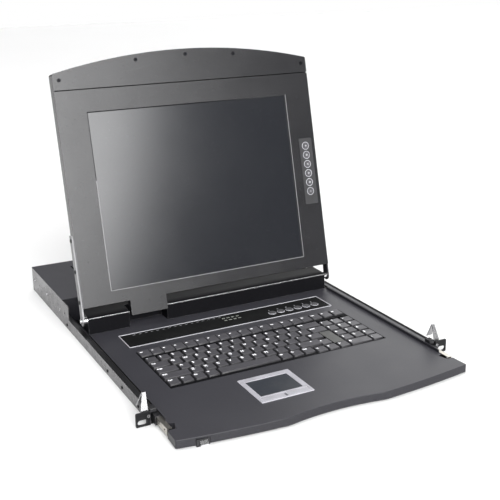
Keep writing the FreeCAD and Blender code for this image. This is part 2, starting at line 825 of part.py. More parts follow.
def keyboard_box(margin):
    """Outline of the key cells, made larger by the margin on every side."""
    width = (main_columns + pad_columns) * key_pitch
    return (keyboard_x - margin, keyboard_x + width + margin,
            keyboard_y - margin, keyboard_y + keyboard_depth + margin)


def row_y(index):
    """Front edge of a main row; the arrow keys and number pad stand arrow_drop nearer."""
    return keyboard_y + arrow_drop + index * row_pitch


def row_of_keys(widths, x, y, depth=row_pitch):
    cells = []
    for width in widths:
        cells.append((x, x + width * key_pitch, y, y + depth))
        x += width * key_pitch
    return cells


def key_cells(group):
    """Cells of one group of keys, each as x0, x1, y0, y1."""
    pad_x = keyboard_x + main_columns * key_pitch
    function_y = keyboard_y + keyboard_depth - function_row_depth
    if group == "function":
        small = main_columns / 16.0
        return (row_of_keys([small] * 16, keyboard_x, function_y, function_row_depth)
                + row_of_keys([1] * pad_columns, pad_x, function_y, function_row_depth))
    if group == "arrows":
        low = row_y(0) - arrow_drop
        x = keyboard_x + 12 * key_pitch
        return row_of_keys([1, 1, 1], x, low) + row_of_keys([1], x + key_pitch, low + row_pitch)
    if group == "numbers":
        cells = row_of_keys([2, 1], pad_x, row_y(0) - arrow_drop)
        for index in range(1, 5):
            cells += row_of_keys([1] * pad_columns, pad_x, row_y(index) - arrow_drop)
        return cells
    return row_of_keys(main_rows[group], keyboard_x, row_y(row_order.index(group)))


key_groups = ("function", "number", "upper", "home", "lower", "bottom", "arrows", "numbers")


def key_cap(cell):
    """One key: tapered cap, hollow over its guide post."""
    x0, x1, y0, y1 = cell
    g, t = key_gap / 2, key_taper
    base = Part.makePolygon([Vector(x0 + g, y0 + g, key_bottom), Vector(x1 - g, y0 + g, key_bottom),
                             Vector(x1 - g, y1 - g, key_bottom), Vector(x0 + g, y1 - g, key_bottom),
                             Vector(x0 + g, y0 + g, key_bottom)])
    top = Part.makePolygon([Vector(x0 + g + t, y0 + g + t, key_top), Vector(x1 - g - t, y0 + g + t, key_top),
                            Vector(x1 - g - t, y1 - g - t, key_top), Vector(x0 + g + t, y1 - g - t, key_top),
                            Vector(x0 + g + t, y0 + g + t, key_top)])
    cap = Part.makeLoft([base, top], True, True)
    px, py, half = (x0 + x1) / 2, (y0 + y1) / 2, key_post / 2 + key_clearance
    hollow = box(px - half, px + half, py - half, py + half, key_bottom,
                 key_bottom + key_travel + 2.6)
    return cap.cut(hollow)


def keys(group):
    return Part.makeCompound([key_cap(cell) for cell in key_cells(group)])


def keyboard_frame():
    """Pan under the keys with a guide post for each, and the plain fields between them."""
    x0, x1, y0, y1 = keyboard_box(frame_margin)
    outer = box(x0, x1, y0, y1, frame_floor, deck_top)
    ix0, ix1, iy0, iy1 = keyboard_box(frame_margin - frame_wall)
    inner = box(ix0, ix1, iy0, iy1, frame_floor + frame_sheet, deck_top)
    pan = outer.cut(inner)
    arrow_x = keyboard_x + 12 * key_pitch
    floor_z = frame_floor + frame_sheet
    ledge = box(x0, arrow_x, y0, row_y(0) - fit_gap, floor_z, deck_top)
    blank_x = keyboard_x + 14 * key_pitch
    blank = box(blank_x + 0.5, blank_x + key_pitch - 0.5, row_y(1) - arrow_drop + 0.8,
                row_y(3) - 0.8, floor_z, deck_top - 0.4)
    function_y = keyboard_y + keyboard_depth - function_row_depth
    bar = box(x0, x1, row_y(5) + 0.6, function_y - 0.6, floor_z, deck_top - 0.4)
    posts = []
    for group in key_groups:
        for cx0, cx1, cy0, cy1 in key_cells(group):
            px, py, half = (cx0 + cx1) / 2, (cy0 + cy1) / 2, key_post / 2
            posts.append(box(px - half, px + half, py - half, py + half, floor_z,
                             key_bottom + 2.3))
    return pan.fuse([ledge, blank, bar] + posts)


# ---- controls on the deck -------------------------------------------------------------------------------
def control_strip():
    """Panel behind the keyboard with round holes for the port buttons."""
    panel = box(strip_x0 + 1 + fit_gap, strip_x1 - 1 - fit_gap, strip_y0 + 1 + fit_gap,
                strip_y1 - 1 - fit_gap, deck_top - strip_thickness, deck_top)
    holes = [cylinder_z(port_button_radius + moving_gap, x, port_button_y,
                        deck_top - strip_thickness, deck_top) for x in port_button_xs()]
    return panel.cut(holes)


def port_button_xs():
    return [port_button_x + i * port_button_pitch for i in range(port_button_count)]


def strip_trim():
    """Bright frame round the control strip."""
    w = trim_width
    outer = box(strip_x0, strip_x1, strip_y0, strip_y1, deck_top, deck_top + trim_height)
    inner = box(strip_x0 + w, strip_x1 - w, strip_y0 + w, strip_y1 - w, deck_top, deck_top + trim_height)
    outer = rounded(outer, 1.5, lambda e: abs(e.CenterOfMass.z - deck_top - trim_height / 2) < 0.01)
    return outer.cut(inner)


def port_button(x):
    """Round button with a collar that keeps it under the strip."""
    cap = cylinder_z(port_button_radius, x, port_button_y, deck_top - strip_thickness - moving_gap,
                     deck_top + 1.6)
    cap = cap.makeChamfer(0.5, [e for e in cap.Edges if abs(e.CenterOfMass.z - deck_top - 1.6) < 0.01])
    collar = cylinder_z(port_button_radius + 1.1, x, port_button_y,
                        deck_top - strip_thickness - moving_gap - 0.9,
                        deck_top - strip_thickness - moving_gap)
    return cap.fuse(collar)


def pad_window():
    return (pad_x0 + pad_rim_left, pad_x1 - pad_rim_right, pad_y0 + pad_rim_front, pad_y1 - pad_rim_back)


def touch_button_row():
    y0 = pad_y0 + (pad_rim_front - touch_button_depth) / 2
    return pad_x0 + touch_button_margin, pad_x1 - touch_button_margin, y0, y0 + touch_button_depth


def touchpad_frame():
    """Silver frame let into the deck, with a floor under the pad and the two buttons."""
    top = deck_top + pad_frame_height
    plate = box(pad_x0, pad_x1, pad_y0, pad_y1, deck_top, top)
    plate = rounded(plate, 1.5, lambda e: abs(e.CenterOfMass.z - (deck_top + top) / 2) < 0.01)
    plate = plate.makeChamfer(0.4, [e for e in plate.Edges if abs(e.CenterOfMass.z - top) < 0.01])
    edge = trim_width + fit_gap
    well = box(pad_x0 + edge, pad_x1 - edge, pad_y0 + edge, pad_y1 - edge, deck_top - 4.5, deck_top)
    floor_z = deck_top - 3.5
    wx0, wx1, wy0, wy1 = pad_window()
    bx0, bx1, by0, by1 = touch_button_row()
    return plate.fuse(well).cut([box(wx0, wx1, wy0, wy1, floor_z, top),
                                 box(bx0, bx1, by0, by1, floor_z, top)]).removeSplitter()


def touchpad_surface():
    wx0, wx1, wy0, wy1 = pad_window()
    return box(wx0 + fit_gap, wx1 - fit_gap, wy0 + fit_gap, wy1 - fit_gap, deck_top - 3.5, deck_top + 0.5)


def touch_button(side):
    """One of the two flat buttons in front of the pad."""
    bx0, bx1, by0, by1 = touch_button_row()
    middle = (bx0 + bx1) / 2
    x0, x1 = (bx0, middle - touch_button_split / 2) if side < 0 else (middle + touch_button_split / 2, bx1)
    cap = box(x0 + moving_gap, x1 - moving_gap, by0 + moving_gap, by1 - moving_gap,
              deck_top - 3.5 + touch_button_travel + 0.15, deck_top + pad_frame_height - 0.1)
    return cap.makeChamfer(0.4, [e for e in cap.Edges
                                 if abs(e.CenterOfMass.z - deck_top - pad_frame_height + 0.1) < 0.01])


# ---- display ---------------------------------------------------------------------------
# These pieces are made upright: x across, y to the back, z up from the hinge axis.
def arc_face(y, bottom, side, apex, corner):
    """Upright outline with a straight bottom and an arched top."""
    a, b = Vector(-side, y, bottom), Vector(side, y, bottom)
    c, d = Vector(side, y, corner), Vector(-side, y, corner)
    edges = [Part.makeLine(a, b), Part.makeLine(b, c),
             Part.Arc(c, Vector(0, y, apex), d).toShape(), Part.makeLine(d, a)]
    return Part.Face(Part.Wire(edges))


def round_arc_corners(solid):
    """Soften the two corners where the arch meets the straight sides."""
    return rounded(solid, arc_corner_radius, lambda e: abs(e.CenterOfMass.z - arc_corner) < 0.01
                   and abs(abs(e.CenterOfMass.x) - display_half_width) < 0.01)


def display_bezel():
    """Front frame with its bevelled window, cable tab and slot for the menu buttons."""
    w = display_half_width
    y0, y1 = -display_face, -display_face + bezel_thickness
    plate = box(-w, w, y0, y1, display_bottom, bezel_top)
    tab = box(tab_x0, tab_x1, y0, y1, tab_end, display_bottom)
    tab = rounded(tab, 1.5, lambda e: abs(e.CenterOfMass.z - tab_end) < 0.01
                  and abs(e.CenterOfMass.y - (y0 + y1) / 2) < 0.01)
    window = box(-window_half_width, window_half_width, y0, y1, window_bottom, window_top)
    c = window_bevel
    outer = Part.makePolygon([Vector(-window_half_width - c, y0, window_bottom - c),
                              Vector(window_half_width + c, y0, window_bottom - c),
                              Vector(window_half_width + c, y0, window_top + c),
                              Vector(-window_half_width - c, y0, window_top + c),
                              Vector(-window_half_width - c, y0, window_bottom - c)])
    inner = Part.makePolygon([Vector(-window_half_width, y0 + c, window_bottom),
                              Vector(window_half_width, y0 + c, window_bottom),
                              Vector(window_half_width, y0 + c, window_top),
                              Vector(-window_half_width, y0 + c, window_top),
                              Vector(-window_half_width, y0 + c, window_bottom)])
    bevel = Part.makeLoft([outer, inner], True, True)
    slot = box(osd_button_x - osd_window / 2, osd_button_x + osd_window / 2, y0, y1,
               osd_v0 + 6, osd_v1 - 3)
    return on_display(plate.fuse(tab).removeSplitter().cut([window, bevel, slot]))


def arc_screw_places():
    """Five screws that follow the arched edge of the top plate."""
    radius = arc_radius()
    edge_x = display_half_width - arc_screw_inset
    places = []
    for x, drop in ((-edge_x, arc_edge_screw_drop), (-arc_screw_x, arc_screw_drop), (0, arc_screw_drop),
                    (arc_screw_x, arc_screw_drop), (edge_x, arc_edge_screw_drop)):
        arch = math.sqrt(radius * radius - x * x) - (radius - arc_apex)
        places.append((x, arch - drop))
    return places


def arc_radius():
    rise = arc_apex - arc_corner
    return (display_half_width ** 2 + rise ** 2) / (2 * rise)


def arc_plate():
    """Arched plate above the display, which is the drawer's front when shut."""
    y0, y1 = -display_face, -display_face + bezel_thickness
    face = arc_face(y0, arc_bottom, display_half_width, arc_apex, arc_corner)
    plate = face.extrude(Vector(0, bezel_thickness, 0))
    for x, v in arc_screw_places():
        plate = plate.cut(cylinder_y(screw_radius + fit_gap, x, y0, y1, v))
    return on_display(round_arc_corners(plate))


def display_screws():
    """Screws of the arched plate and of the two hinge arms."""
    pieces = []
    for x, v in arc_screw_places():
        shank = cylinder_y(screw_radius, x, -display_face, -display_face + bezel_thickness, v)
        head = cylinder_y(screw_head_radius, x, -display_face - 0.8, -display_face, v)
        pieces.append(head.fuse(shank))
    x = display_half_width
    for v in arm_screw_heights():
        shank = cylinder_x(screw_radius, x, x + arm_sheet, 0, v)
        head = cylinder_x(screw_head_radius, x + arm_sheet, x + arm_sheet + 1, 0, v)
        pieces += [head.fuse(shank), mirrored(head.fuse(shank))]
    return on_display(Part.makeCompound(pieces))


def arm_screw_heights():
    low, high = display_bottom + arm_screw_inset, arm_reach - arm_screw_inset
    return (low, (low + high) / 2, high)


def display_shell():
    """Back housing: shallow tray with an arched top, vents and the cable tab's back."""
    y0, y1 = -display_face + bezel_thickness + seam, display_back
    outer = arc_face(y0, display_bottom, display_half_width, arc_apex, arc_corner)
    shell = round_arc_corners(outer.extrude(Vector(0, y1 - y0, 0)))
    shell = shell.makeFillet(shell_round, [e for e in shell.Edges if abs(e.CenterOfMass.y - y1) < 0.01])
    t = shell_wall
    inner = arc_face(y0, display_bottom + t, display_half_width - t, arc_apex - t, arc_corner - t)
    shell = shell.cut(inner.extrude(Vector(0, y1 - y0 - t, 0)))
    slots = []
    for row in range(vent_rows):
        v = bezel_top - 20 - row * vent_pitch
        for x in (-2.2 * vent_length, -0.5 * vent_length, 1.2 * vent_length):
            slots.append(box(x, x + vent_length, y1 - t, y1, v, v + vent_width))
    tab = box(tab_x0 + 2, tab_x1 - 2, -display_face + bezel_thickness, tab_back, tab_end + 1.5,
              display_bottom)
    tab = rounded(tab, 4.0, lambda e: abs(e.CenterOfMass.z - tab_end - 1.5) < 0.01
                  and abs(e.CenterOfMass.y - tab_back) < 0.01)
    return on_display(shell.cut(slots).fuse(tab).removeSplitter())


def display_panel():
    """Liquid crystal panel behind the window."""
    m = panel_margin
    y0 = -display_face + bezel_thickness
    panel = box(-window_half_width - m, window_half_width + m, y0, y0 + panel_thickness,
                window_bottom - m, window_top + m)
    return on_display(panel)


def hinge_arm():
    """Right steel arm from the display's side down to the hinge shaft."""
    x0, x1 = display_half_width, display_half_width + arm_sheet
    eye = cylinder_x(arm_radius, x0, x1, 0, 0)
    leg = prism([(x0, -arm_radius, 0), (x0, arm_radius - 1, 0), (x0, display_back - 1.5, display_bottom),
                 (x0, display_back - 1.5, arm_reach), (x0, -arm_radius + 1, arm_reach),
                 (x0, -arm_radius, display_bottom)], (arm_sheet, 0, 0))
    arm = eye.fuse(leg).removeSplitter()
    arm = arm.cut(cylinder_x(shaft_radius + running_clearance, x0, x1, 0, 0))
    for v in arm_screw_heights():
        arm = arm.cut(cylinder_x(screw_radius + fit_gap / 2, x0, x1, 0, v))
    return on_display(arm)


def osd_button_heights():
    return [osd_button_top - i * osd_button_pitch for i in range(osd_button_count)]


def osd_panel():
    """Raised strip on the right of the window with holes for the menu buttons."""
    y1 = -display_face
    y0 = y1 - osd_sheet
    strip = box(osd_x0, osd_x1, y0, y1, osd_v0, osd_v1)
    strip = rounded(strip, 2.0, lambda e: abs(e.CenterOfMass.y - (y0 + y1) / 2) < 0.01)
    holes = [cylinder_y(osd_button_radius + moving_gap, osd_button_x, y0, y1, v)
             for v in osd_button_heights()]
    return on_display(strip.cut(holes))


def osd_button(height):
    """One round menu button with a collar behind the strip."""
    y1 = -display_face - moving_gap / 2
    y0 = -display_face - osd_button_rise
    cap = cylinder_y(osd_button_radius, osd_button_x, y0, -display_face + 0.4, height)
    cap = cap.makeChamfer(0.4, [e for e in cap.Edges if abs(e.CenterOfMass.y - y0) < 0.01])
    collar = cylinder_y(osd_button_radius + 0.8, osd_button_x, -display_face + moving_gap,
                        y1 + moving_gap + 1.2, height)
    return on_display(cap.fuse(collar))


# ---- the assembly ----------------------------------------------------------------------
def assembly():
    nodes = {
        "chassis_tray": chassis_tray(),
        "bulkhead": bulkhead(),
        "rear_cover": rear_cover(),
        "rear_panel": rear_panel(),
        "computer_ports": computer_ports(),
        "switch_board": switch_board(),
        "power_supply": power_supply(),
        "power_inlet": power_inlet(),
        "power_rocker": power_rocker(),
        "ear_left": rack_ear(),
        "ear_right": mirrored(rack_ear()),
        "release_clip_left": release_clip(),
        "release_clip_right": mirrored(release_clip()),
        "rail_stops": rail_stops(),
        "chassis_fasteners": chassis_fasteners(),
        "rail_screws": rail_screws(),
        "outer_rails": outer_rails(),
        "middle_rails": middle_rails(),
        "inner_rails": inner_rails(),
        "drawer_tray": drawer_tray(),
        "drawer_pan": drawer_pan(),
        "hinge_housing": hinge_housing(),
        "hinge_shafts": hinge_shafts(),
        "latch_housing": latch_housing(),
        "front_latch": front_latch(),
        "keyboard_frame": keyboard_frame(),
        "control_strip": control_strip(),
        "strip_trim": strip_trim(),
        "touchpad_frame": touchpad_frame(),
        "touchpad_surface": touchpad_surface(),
        "touch_button_left": touch_button(-1),
        "touch_button_right": touch_button(1),
        "display_bezel": display_bezel(),
        "arc_plate": arc_plate(),
        "display_shell": display_shell(),
        "display_panel": display_panel(),
        "display_screws": display_screws(),
        "hinge_arm_left": mirrored(hinge_arm()),
        "hinge_arm_right": hinge_arm(),
        "osd_panel": osd_panel(),
    }
    for group in key_groups:
        nodes["keys_" + group] = keys(group)
    for number, x in enumerate(port_button_xs(), 1):
        nodes["port_button_%d" % number] = port_button(x)
    for number, height in enumerate(osd_button_heights(), 1):
        nodes["osd_button_%d" % number] = osd_button(height)
    return nodes


def main():
    os.makedirs("parts", exist_ok=True)
    for name, shape in assembly().items():
        placed = shape.copy()
        placed.translate(Vector(0, 0, -slot_rise))
        placed.exportStep("parts/%s.step" % name)


main()
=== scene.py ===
"""Rackmount LCD console drawer: finishes, key caps, printing, small fittings and the studio."""
import json
import math
from contextlib import contextmanager

import bmesh
import bpy
from bpy.props import FloatProperty, FloatVectorProperty, PointerProperty
from mathutils import Matrix, Vector


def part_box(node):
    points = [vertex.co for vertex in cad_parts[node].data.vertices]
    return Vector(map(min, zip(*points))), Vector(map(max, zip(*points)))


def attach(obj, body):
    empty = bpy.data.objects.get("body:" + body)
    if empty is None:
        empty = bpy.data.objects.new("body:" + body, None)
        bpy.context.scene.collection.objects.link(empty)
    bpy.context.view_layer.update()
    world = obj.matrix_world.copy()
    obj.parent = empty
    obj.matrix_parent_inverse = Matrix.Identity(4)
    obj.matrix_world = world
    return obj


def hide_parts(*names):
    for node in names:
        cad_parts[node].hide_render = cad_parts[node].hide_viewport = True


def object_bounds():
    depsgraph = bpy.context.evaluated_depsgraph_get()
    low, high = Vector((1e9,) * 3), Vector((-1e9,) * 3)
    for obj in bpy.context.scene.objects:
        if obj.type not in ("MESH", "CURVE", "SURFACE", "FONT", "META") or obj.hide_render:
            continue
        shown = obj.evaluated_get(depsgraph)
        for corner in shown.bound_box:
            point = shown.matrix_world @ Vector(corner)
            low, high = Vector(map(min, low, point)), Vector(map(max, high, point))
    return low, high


bl_info = {
    "name": "Console drawer dressing",
    "version": (1, 0, 0),
    "blender": (4, 5, 0),
    "location": "View3D > Sidebar > Console",
    "description": "Finishes and fine pieces for a rackmount LCD console drawer",
    "category": "Object",
}

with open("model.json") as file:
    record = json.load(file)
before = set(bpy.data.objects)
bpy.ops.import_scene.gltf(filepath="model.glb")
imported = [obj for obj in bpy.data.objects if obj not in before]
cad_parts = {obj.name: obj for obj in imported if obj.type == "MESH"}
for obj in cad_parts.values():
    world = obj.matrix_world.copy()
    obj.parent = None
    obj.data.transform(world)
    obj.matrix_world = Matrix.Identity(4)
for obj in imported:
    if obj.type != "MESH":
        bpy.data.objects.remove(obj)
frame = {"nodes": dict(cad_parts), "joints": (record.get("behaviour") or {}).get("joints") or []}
CAD_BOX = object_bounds()
NODES = frame["nodes"]
JOINTS = {joint["name"]: joint for joint in frame["joints"]}
HINGE = Vector(JOINTS["display_hinge"]["pos_m"])

MM = 0.001
UP = Vector((0.0, 0.0, 1.0))
FORWARD = Vector((0.0, -1.0, 0.0))
KEY_GROUPS = ("function", "number", "upper", "home", "lower", "bottom", "arrows", "numbers")
BUTTON_NUMBERS = (1, 2, 3, 4, 5, 6)


def display_tilt():
    """How far the display leans back, from the panel's largest face."""
    widest = max(NODES["display_panel"].data.polygons, key=lambda face: face.area)
    return math.atan2(abs(widest.normal.z), abs(widest.normal.y))


DISPLAY_TILT = display_tilt()


# ---- settings ----------------------------------------------------------------------------------
def colour(name, text, rgb):
    return FloatVectorProperty(name=name, description=text, subtype="COLOR", size=3,
                               min=0.0, max=1.0, default=rgb)


def length(name, text, millimetres):
    return FloatProperty(name=name, description=text, unit="LENGTH", precision=5,
                         default=millimetres * MM)


def number(name, text, value):
    return FloatProperty(name=name, description=text, precision=3, default=value)


def point(name, text, metres):
    return FloatVectorProperty(name=name, description=text, subtype="XYZ", size=3, default=metres)


class ConsoleFinishSettings(bpy.types.PropertyGroup):
    powder_black: colour("Powder black", "Powder coat of the sheet", (0.014, 0.0138, 0.0178))
    display_black: colour("Display black", "Paint of the display's front", (0.010, 0.010, 0.0115))
    housing_black: colour("Housing black", "Paint of hinge housing and ears", (0.004, 0.004, 0.005))
    # Lighter colour of painted edges: partly scuffed paint, partly a painted highlight along the
    # edges.
    worn_edge: colour("Scuffed and lit edge", "Rubbed edges of painted sheet", (0.20, 0.20, 0.21))
    dust: colour("Dust", "Dust that lies on flat surfaces", (0.16, 0.158, 0.185))
    zinc: colour("Zinc", "Galvanised chassis sheet", (0.125, 0.122, 0.127))
    rail: colour("Rail steel", "Zinc plated inner rails and port shells", (0.46, 0.44, 0.40))
    # Darker copy of the rail steel for the fixed and middle members: painted shade of the channel
    # they run in.
    dark_rail: colour("Shaded rail steel", "Fixed and middle rail members", (0.10, 0.10, 0.105))
    # The same colour serves the bead on the hinge housing, which is a painted highlight of its
    # front edge.
    catch: colour("Catch steel", "Release clips, rear screws and the bead", (0.42, 0.42, 0.43))
    arm: colour("Arm", "Left hinge arm", (0.19, 0.19, 0.195))
    nickel: colour("Nickel", "Hinge shafts and the front catch", (0.78, 0.78, 0.79))
    blackened: colour("Blackened steel", "Dark screws", (0.018, 0.018, 0.020))
    gold: colour("Gold", "Contact pins", (0.80, 0.58, 0.25))
    key_cap: colour("Key cap", "Charcoal key plastic", (0.022, 0.0215, 0.024))
    moulded: colour("Moulded black", "Black moulded plastic", (0.012, 0.012, 0.014))
    # Deeper black than the moulded plastic, for the pan and frame round the keys and the crosses of
    # the screws: painted shade of gaps and recesses.
    pan_black: colour("Shade black", "Pan under the keys and screw recesses", (0.004, 0.004, 0.005))
    blank: colour("Blank", "Plain plate beside the arrow keys", (0.060, 0.061, 0.058))
    strip: colour("Strip", "Printed control strip", (0.010, 0.0102, 0.0105))
    button: colour("Button", "Push buttons", (0.055, 0.055, 0.060))
    silver: colour("Silver", "Silver painted touchpad frame and buttons", (0.40, 0.395, 0.43))
    trim: colour("Trim", "Line round the control strip, and button rings", (0.36, 0.36, 0.385))
    # Pale colour of the line round the screen: a painted highlight on the bevel.
    bevel_line: colour("Bevel highlight", "Line of the bevel round the screen", (0.16, 0.16, 0.165))
    pad: colour("Pad", "Touch film", (0.030, 0.034, 0.042))
    port_blue: colour("Port blue", "Insulator of the computer ports", (0.012, 0.035, 0.140))
    lamp: colour("Lamp", "Unlit indicator lenses", (0.20, 0.21, 0.19))
    faint_print: colour("Faint print", "Small grey printing", (0.34, 0.34, 0.36))
    print_white: colour("Print", "White printing on the keys", (0.90, 0.90, 0.93))
    screen: colour("Screen", "Dark screen behind its film", (0.012, 0.013, 0.016))
    screen_fleck: colour("Screen fleck", "Dust on the screen", (0.10, 0.10, 0.11))
    board: colour("Board", "Solder mask of the switch board", (0.015, 0.110, 0.050))


class ConsoleKeySettings(bpy.types.PropertyGroup):
    top_taper: length("Top taper", "How much narrower the top is on each side", 1.5)
    corner: length("Corner", "Rounding of the upright key edges", 1.0)
    rim: length("Rim", "Rounding of the edge round the top", 0.45)
    dish: length("Dish", "Depth of the finger dish", 0.35)
    dish_inset: length("Dish inset", "Flat border round the finger dish", 0.5)
    legend: length("Legend", "Height of a letter", 6.6)
    word: length("Word", "Height of a word", 3.9)
    function_word: length("Function word", "Height of a word on the function keys", 2.8)
    stroke: length("Stroke", "Extra thickness of a letter's strokes", 0.22)
    legend_inset: length("Legend inset", "From the edge of a key's top to its legend", 1.2)
    legend_lift: length("Legend lift", "Thickness of the printing", 0.04)
    legend_sink: number("Legend sink", "Share of the dish that printing reaches down", 0.25)


class ConsoleDetailSettings(bpy.types.PropertyGroup):
    ring_inner: length("Ring inside", "Inside radius of a button's ring", 5.6)
    ring_outer: length("Ring outside", "Outside radius of a button's ring", 6.5)
    ring_height: length("Ring height", "How far a ring stands proud", 0.5)
    mark: length("Number height", "Height of the port numbers", 4.0)
    mark_gap: length("Number gap", "Gap between a port button and its number", 2.6)
    sign: length("Sign height", "Height of the signs on the menu buttons", 6.0)
    film: length("Film", "Thickness of printed marks", 0.06)
    dash_start: length("First dash", "First printed dash from the strip's left end", 20.0)
    dash_pitch: length("Dash pitch", "Distance between the printed dashes", 9.5)
    dash_length: length("Dash length", "Length of a printed dash", 4.0)
    dash_width: length("Dash width", "Width of a printed dash", 0.8)
    dash_back: length("Dash place", "Front of a dash before the strip's back edge", 5.4)
    lamp_x: length("Lamps across", "Left edge of the first indicator lens", -5.0)
    lamp_y: length("Lamps deep", "Front edge of the nearer indicator lenses", 232.0)
    lamp_pitch: length("Lamp pitch", "Distance between lenses side by side", 8.0)
    lamp_row: length("Lamp row", "Distance between the two rows of lenses", 9.0)
    lamp_length: length("Lamp length", "Length of a lens", 4.6)
    lamp_width: length("Lamp width", "Width of a lens", 2.6)
    lamp_rise: length("Lamp rise", "How far a lens stands proud", 0.4)
    lamp_round: length("Lamp rounding", "Rounding of a lens", 0.15)
    panel_overlap: length("Panel overlap", "How far the panel reaches behind the bezel", 10.0)
    bevel: length("Bevel", "Width of the bevel round the screen opening", 1.4)
    # A pale line on the bottom, the right and part of the left side of the screen opening: a
    # painted highlight on the bevel.
    screen_trim: length("Screen highlight", "Width of the line round the screen", 0.9)
    screen_trim_height: length("Screen highlight height", "Thickness of that line", 0.3)
    trim_share: number("Highlight share", "Share of the left side that the line goes up", 0.62)
    plate_gap: length("Plate gap", "Gap between the blank plate and the keys", 1.2)
    plate_width: length("Plate width", "Width of the blank plate", 17.6)
    plate_start: length("Plate start", "Front of the plate behind the arrow keys' front", 20.2)
    plate_rise: length("Plate rise", "How far the blank plate stands over the pan", 0.7)
    plate_round: length("Plate rounding", "Rounding and foot of the blank plate", 0.4)
    # The bead is a bright bar along the housing's front edge: a painted highlight where that edge
    # catches the light.
    brow_drop: length("Brow drop", "Height of the housing's top over its bead", 2.6)
    bead_width: length("Bead width", "Width of the bright bead", 1.7)
    bead_rise: length("Bead rise", "Height of the bright bead", 0.55)
    bead_foot: length("Bead foot", "How deep the bead sits in the housing", 0.2)
    bead_back: length("Bead back", "Front of the bead behind the housing's front", 0.1)
    bead_end: length("Bead end", "Gap between the bead and the housing's ends", 1.0)
    bead_round: length("Bead rounding", "Rounding of the bright bead", 0.3)
    tab_left: length("Tab left", "Where the bead stops left of the cable tab", -142.0)
    tab_right: length("Tab right", "Where the bead starts right of the cable tab", -82.0)


class ConsolePortSettings(bpy.types.PropertyGroup):
    width: length("Width", "Width of a port's shell", 16.4)
    height: length("Height", "Height of a port's shell", 8.0)
    taper: number("Taper", "Width of the shell's foot as a share of its top", 0.86)
    corner: length("Corner", "Rounding of the shell's corners", 2.0)
    wall: length("Wall", "Wall of the shell", 0.6)
    rim: length("Rim", "How far the shell stands over its insulator", 1.4)
    pin: length("Pin", "Radius of a contact", 0.45)
    pin_reach: number("Pin reach", "Length of a contact as a share of the rim", 0.6)
    pin_pitch: length("Pin pitch", "Distance between contacts side by side", 2.3)
    pin_row: length("Pin row", "Distance between the three rows of contacts", 2.0)
    pin_stagger: number("Pin stagger", "Shift of the middle row, in pitches", 0.25)
    post: length("Post", "Radius of a hexagonal post beside a port", 2.7)
    post_length: length("Post length", "How far a post stands out of the rear panel", 5.0)
    post_reach: length("Post place", "Distance of a post from the middle of its port", 12.5)
    post_hole: number("Post hole", "Wall round the hole, as a share of the radius", 0.35)
    hole_taper: number("Hole taper", "Narrowing of the hole, as a share of the radius", 0.05)
    edge: number("Edge", "Turned edge of a rod's end, as a share of its radius", 0.18)


class ConsoleScrewSettings(bpy.types.PropertyGroup):
    cross_long: number("Cross length", "Half length of a cross, as a share of the head", 0.72)
    cross_short: number("Cross width", "Half width of a cross, as a share of the head", 0.16)
    recess: length("Recess", "Thickness of a screw's dark cross", 0.10)
    recess_foot: length("Recess foot", "How deep the cross reaches into the head", 0.02)
    widest_head: length("Widest head", "Radius of the largest head that has a recess", 4.5)
    flat_end: length("Flat end", "How level the corners of a head's end are", 0.05)
    round_rim: length("Round rim", "How evenly they lie round the middle", 0.3)


class ConsoleStudioSettings(bpy.types.PropertyGroup):
    azimuth: number("Azimuth", "Camera turn about the drawer, degrees", -27.51)
    elevation: number("Elevation", "Camera height angle, degrees", 17.21)
    roll: number("Roll", "Camera roll, degrees", -0.65)
    place: point("Place", "Camera place", (-0.57998, -0.97384, 0.55190))
    lens: number("Lens", "Focal length, millimetres", 66.194)
    sensor: number("Sensor", "Width of the camera's sensor, millimetres", 36.0)
    shift_x: number("Shift across", "Shift of the lens across", -0.0082)
    shift_y: number("Shift up", "Shift of the lens upwards", -0.0197)
    floor_size: length("Floor", "Side of the floor", 14000.0)
    softbox_place: point("Softbox place", "Middle of the softbox", (-0.3, 0.5, 2.6))
    softbox_aim: point("Softbox aim", "Where the softbox points", (0.0, 0.2, 0.0))
    softbox_size: length("Softbox size", "Side of the softbox", 2400.0)
    softbox_power: number("Softbox power", "Watts", 30.0)
    fill: number("Fill", "Even light from all sides", 0.10)


class ConsoleSettings(bpy.types.PropertyGroup):
    finish: PointerProperty(type=ConsoleFinishSettings)
    keys: PointerProperty(type=ConsoleKeySettings)
    details: PointerProperty(type=ConsoleDetailSettings)
    ports: PointerProperty(type=ConsolePortSettings)
    screws: PointerProperty(type=ConsoleScrewSettings)
    studio: PointerProperty(type=ConsoleStudioSettings)


def settings():
    return bpy.context.scene.console_drawer


# ---- small helpers -----------------------------------------------------------------------------
# A normal or a height that is at least this share of the full value counts as full.
NEARLY = 0.99
SAME_POINT = 1e-6
RING_SIDES = 40
QUARTER_TURN = math.radians(90)


def deselect():
    if bpy.context.mode != "OBJECT":
        bpy.ops.object.mode_set(mode="OBJECT")
    bpy.ops.object.select_all(action="DESELECT")


def pick(obj):
    deselect()
    obj.select_set(True)
    bpy.context.view_layer.objects.active = obj


def fix_place(obj):
    """Put the object's place, turn and scale into its mesh."""
    pick(obj)
    bpy.ops.object.transform_apply(location=True, rotation=True, scale=True)
    return obj


@contextmanager
def editing(obj):
    """Edit mode on one object, and object mode again after the block."""
    pick(obj)
    bpy.ops.object.mode_set(mode="EDIT")
    yield
    bpy.ops.object.mode_set(mode="OBJECT")


def coated(obj, paint):
    obj.data.materials.clear()
    obj.data.materials.append(paints()[paint])
    return obj


def settle(obj, name, body):
    """Put the piece's place into its mesh, name it and let it ride on its body."""
    fix_place(obj)
    obj.name = name
    obj.data.name = name
    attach(obj, body)
    return obj


def join(objects):
    deselect()
    for obj in objects:
        obj.select_set(True)
    bpy.context.view_layer.objects.active = objects[0]
    if len(objects) > 1:
        bpy.ops.object.join()
    return bpy.context.view_layer.objects.active


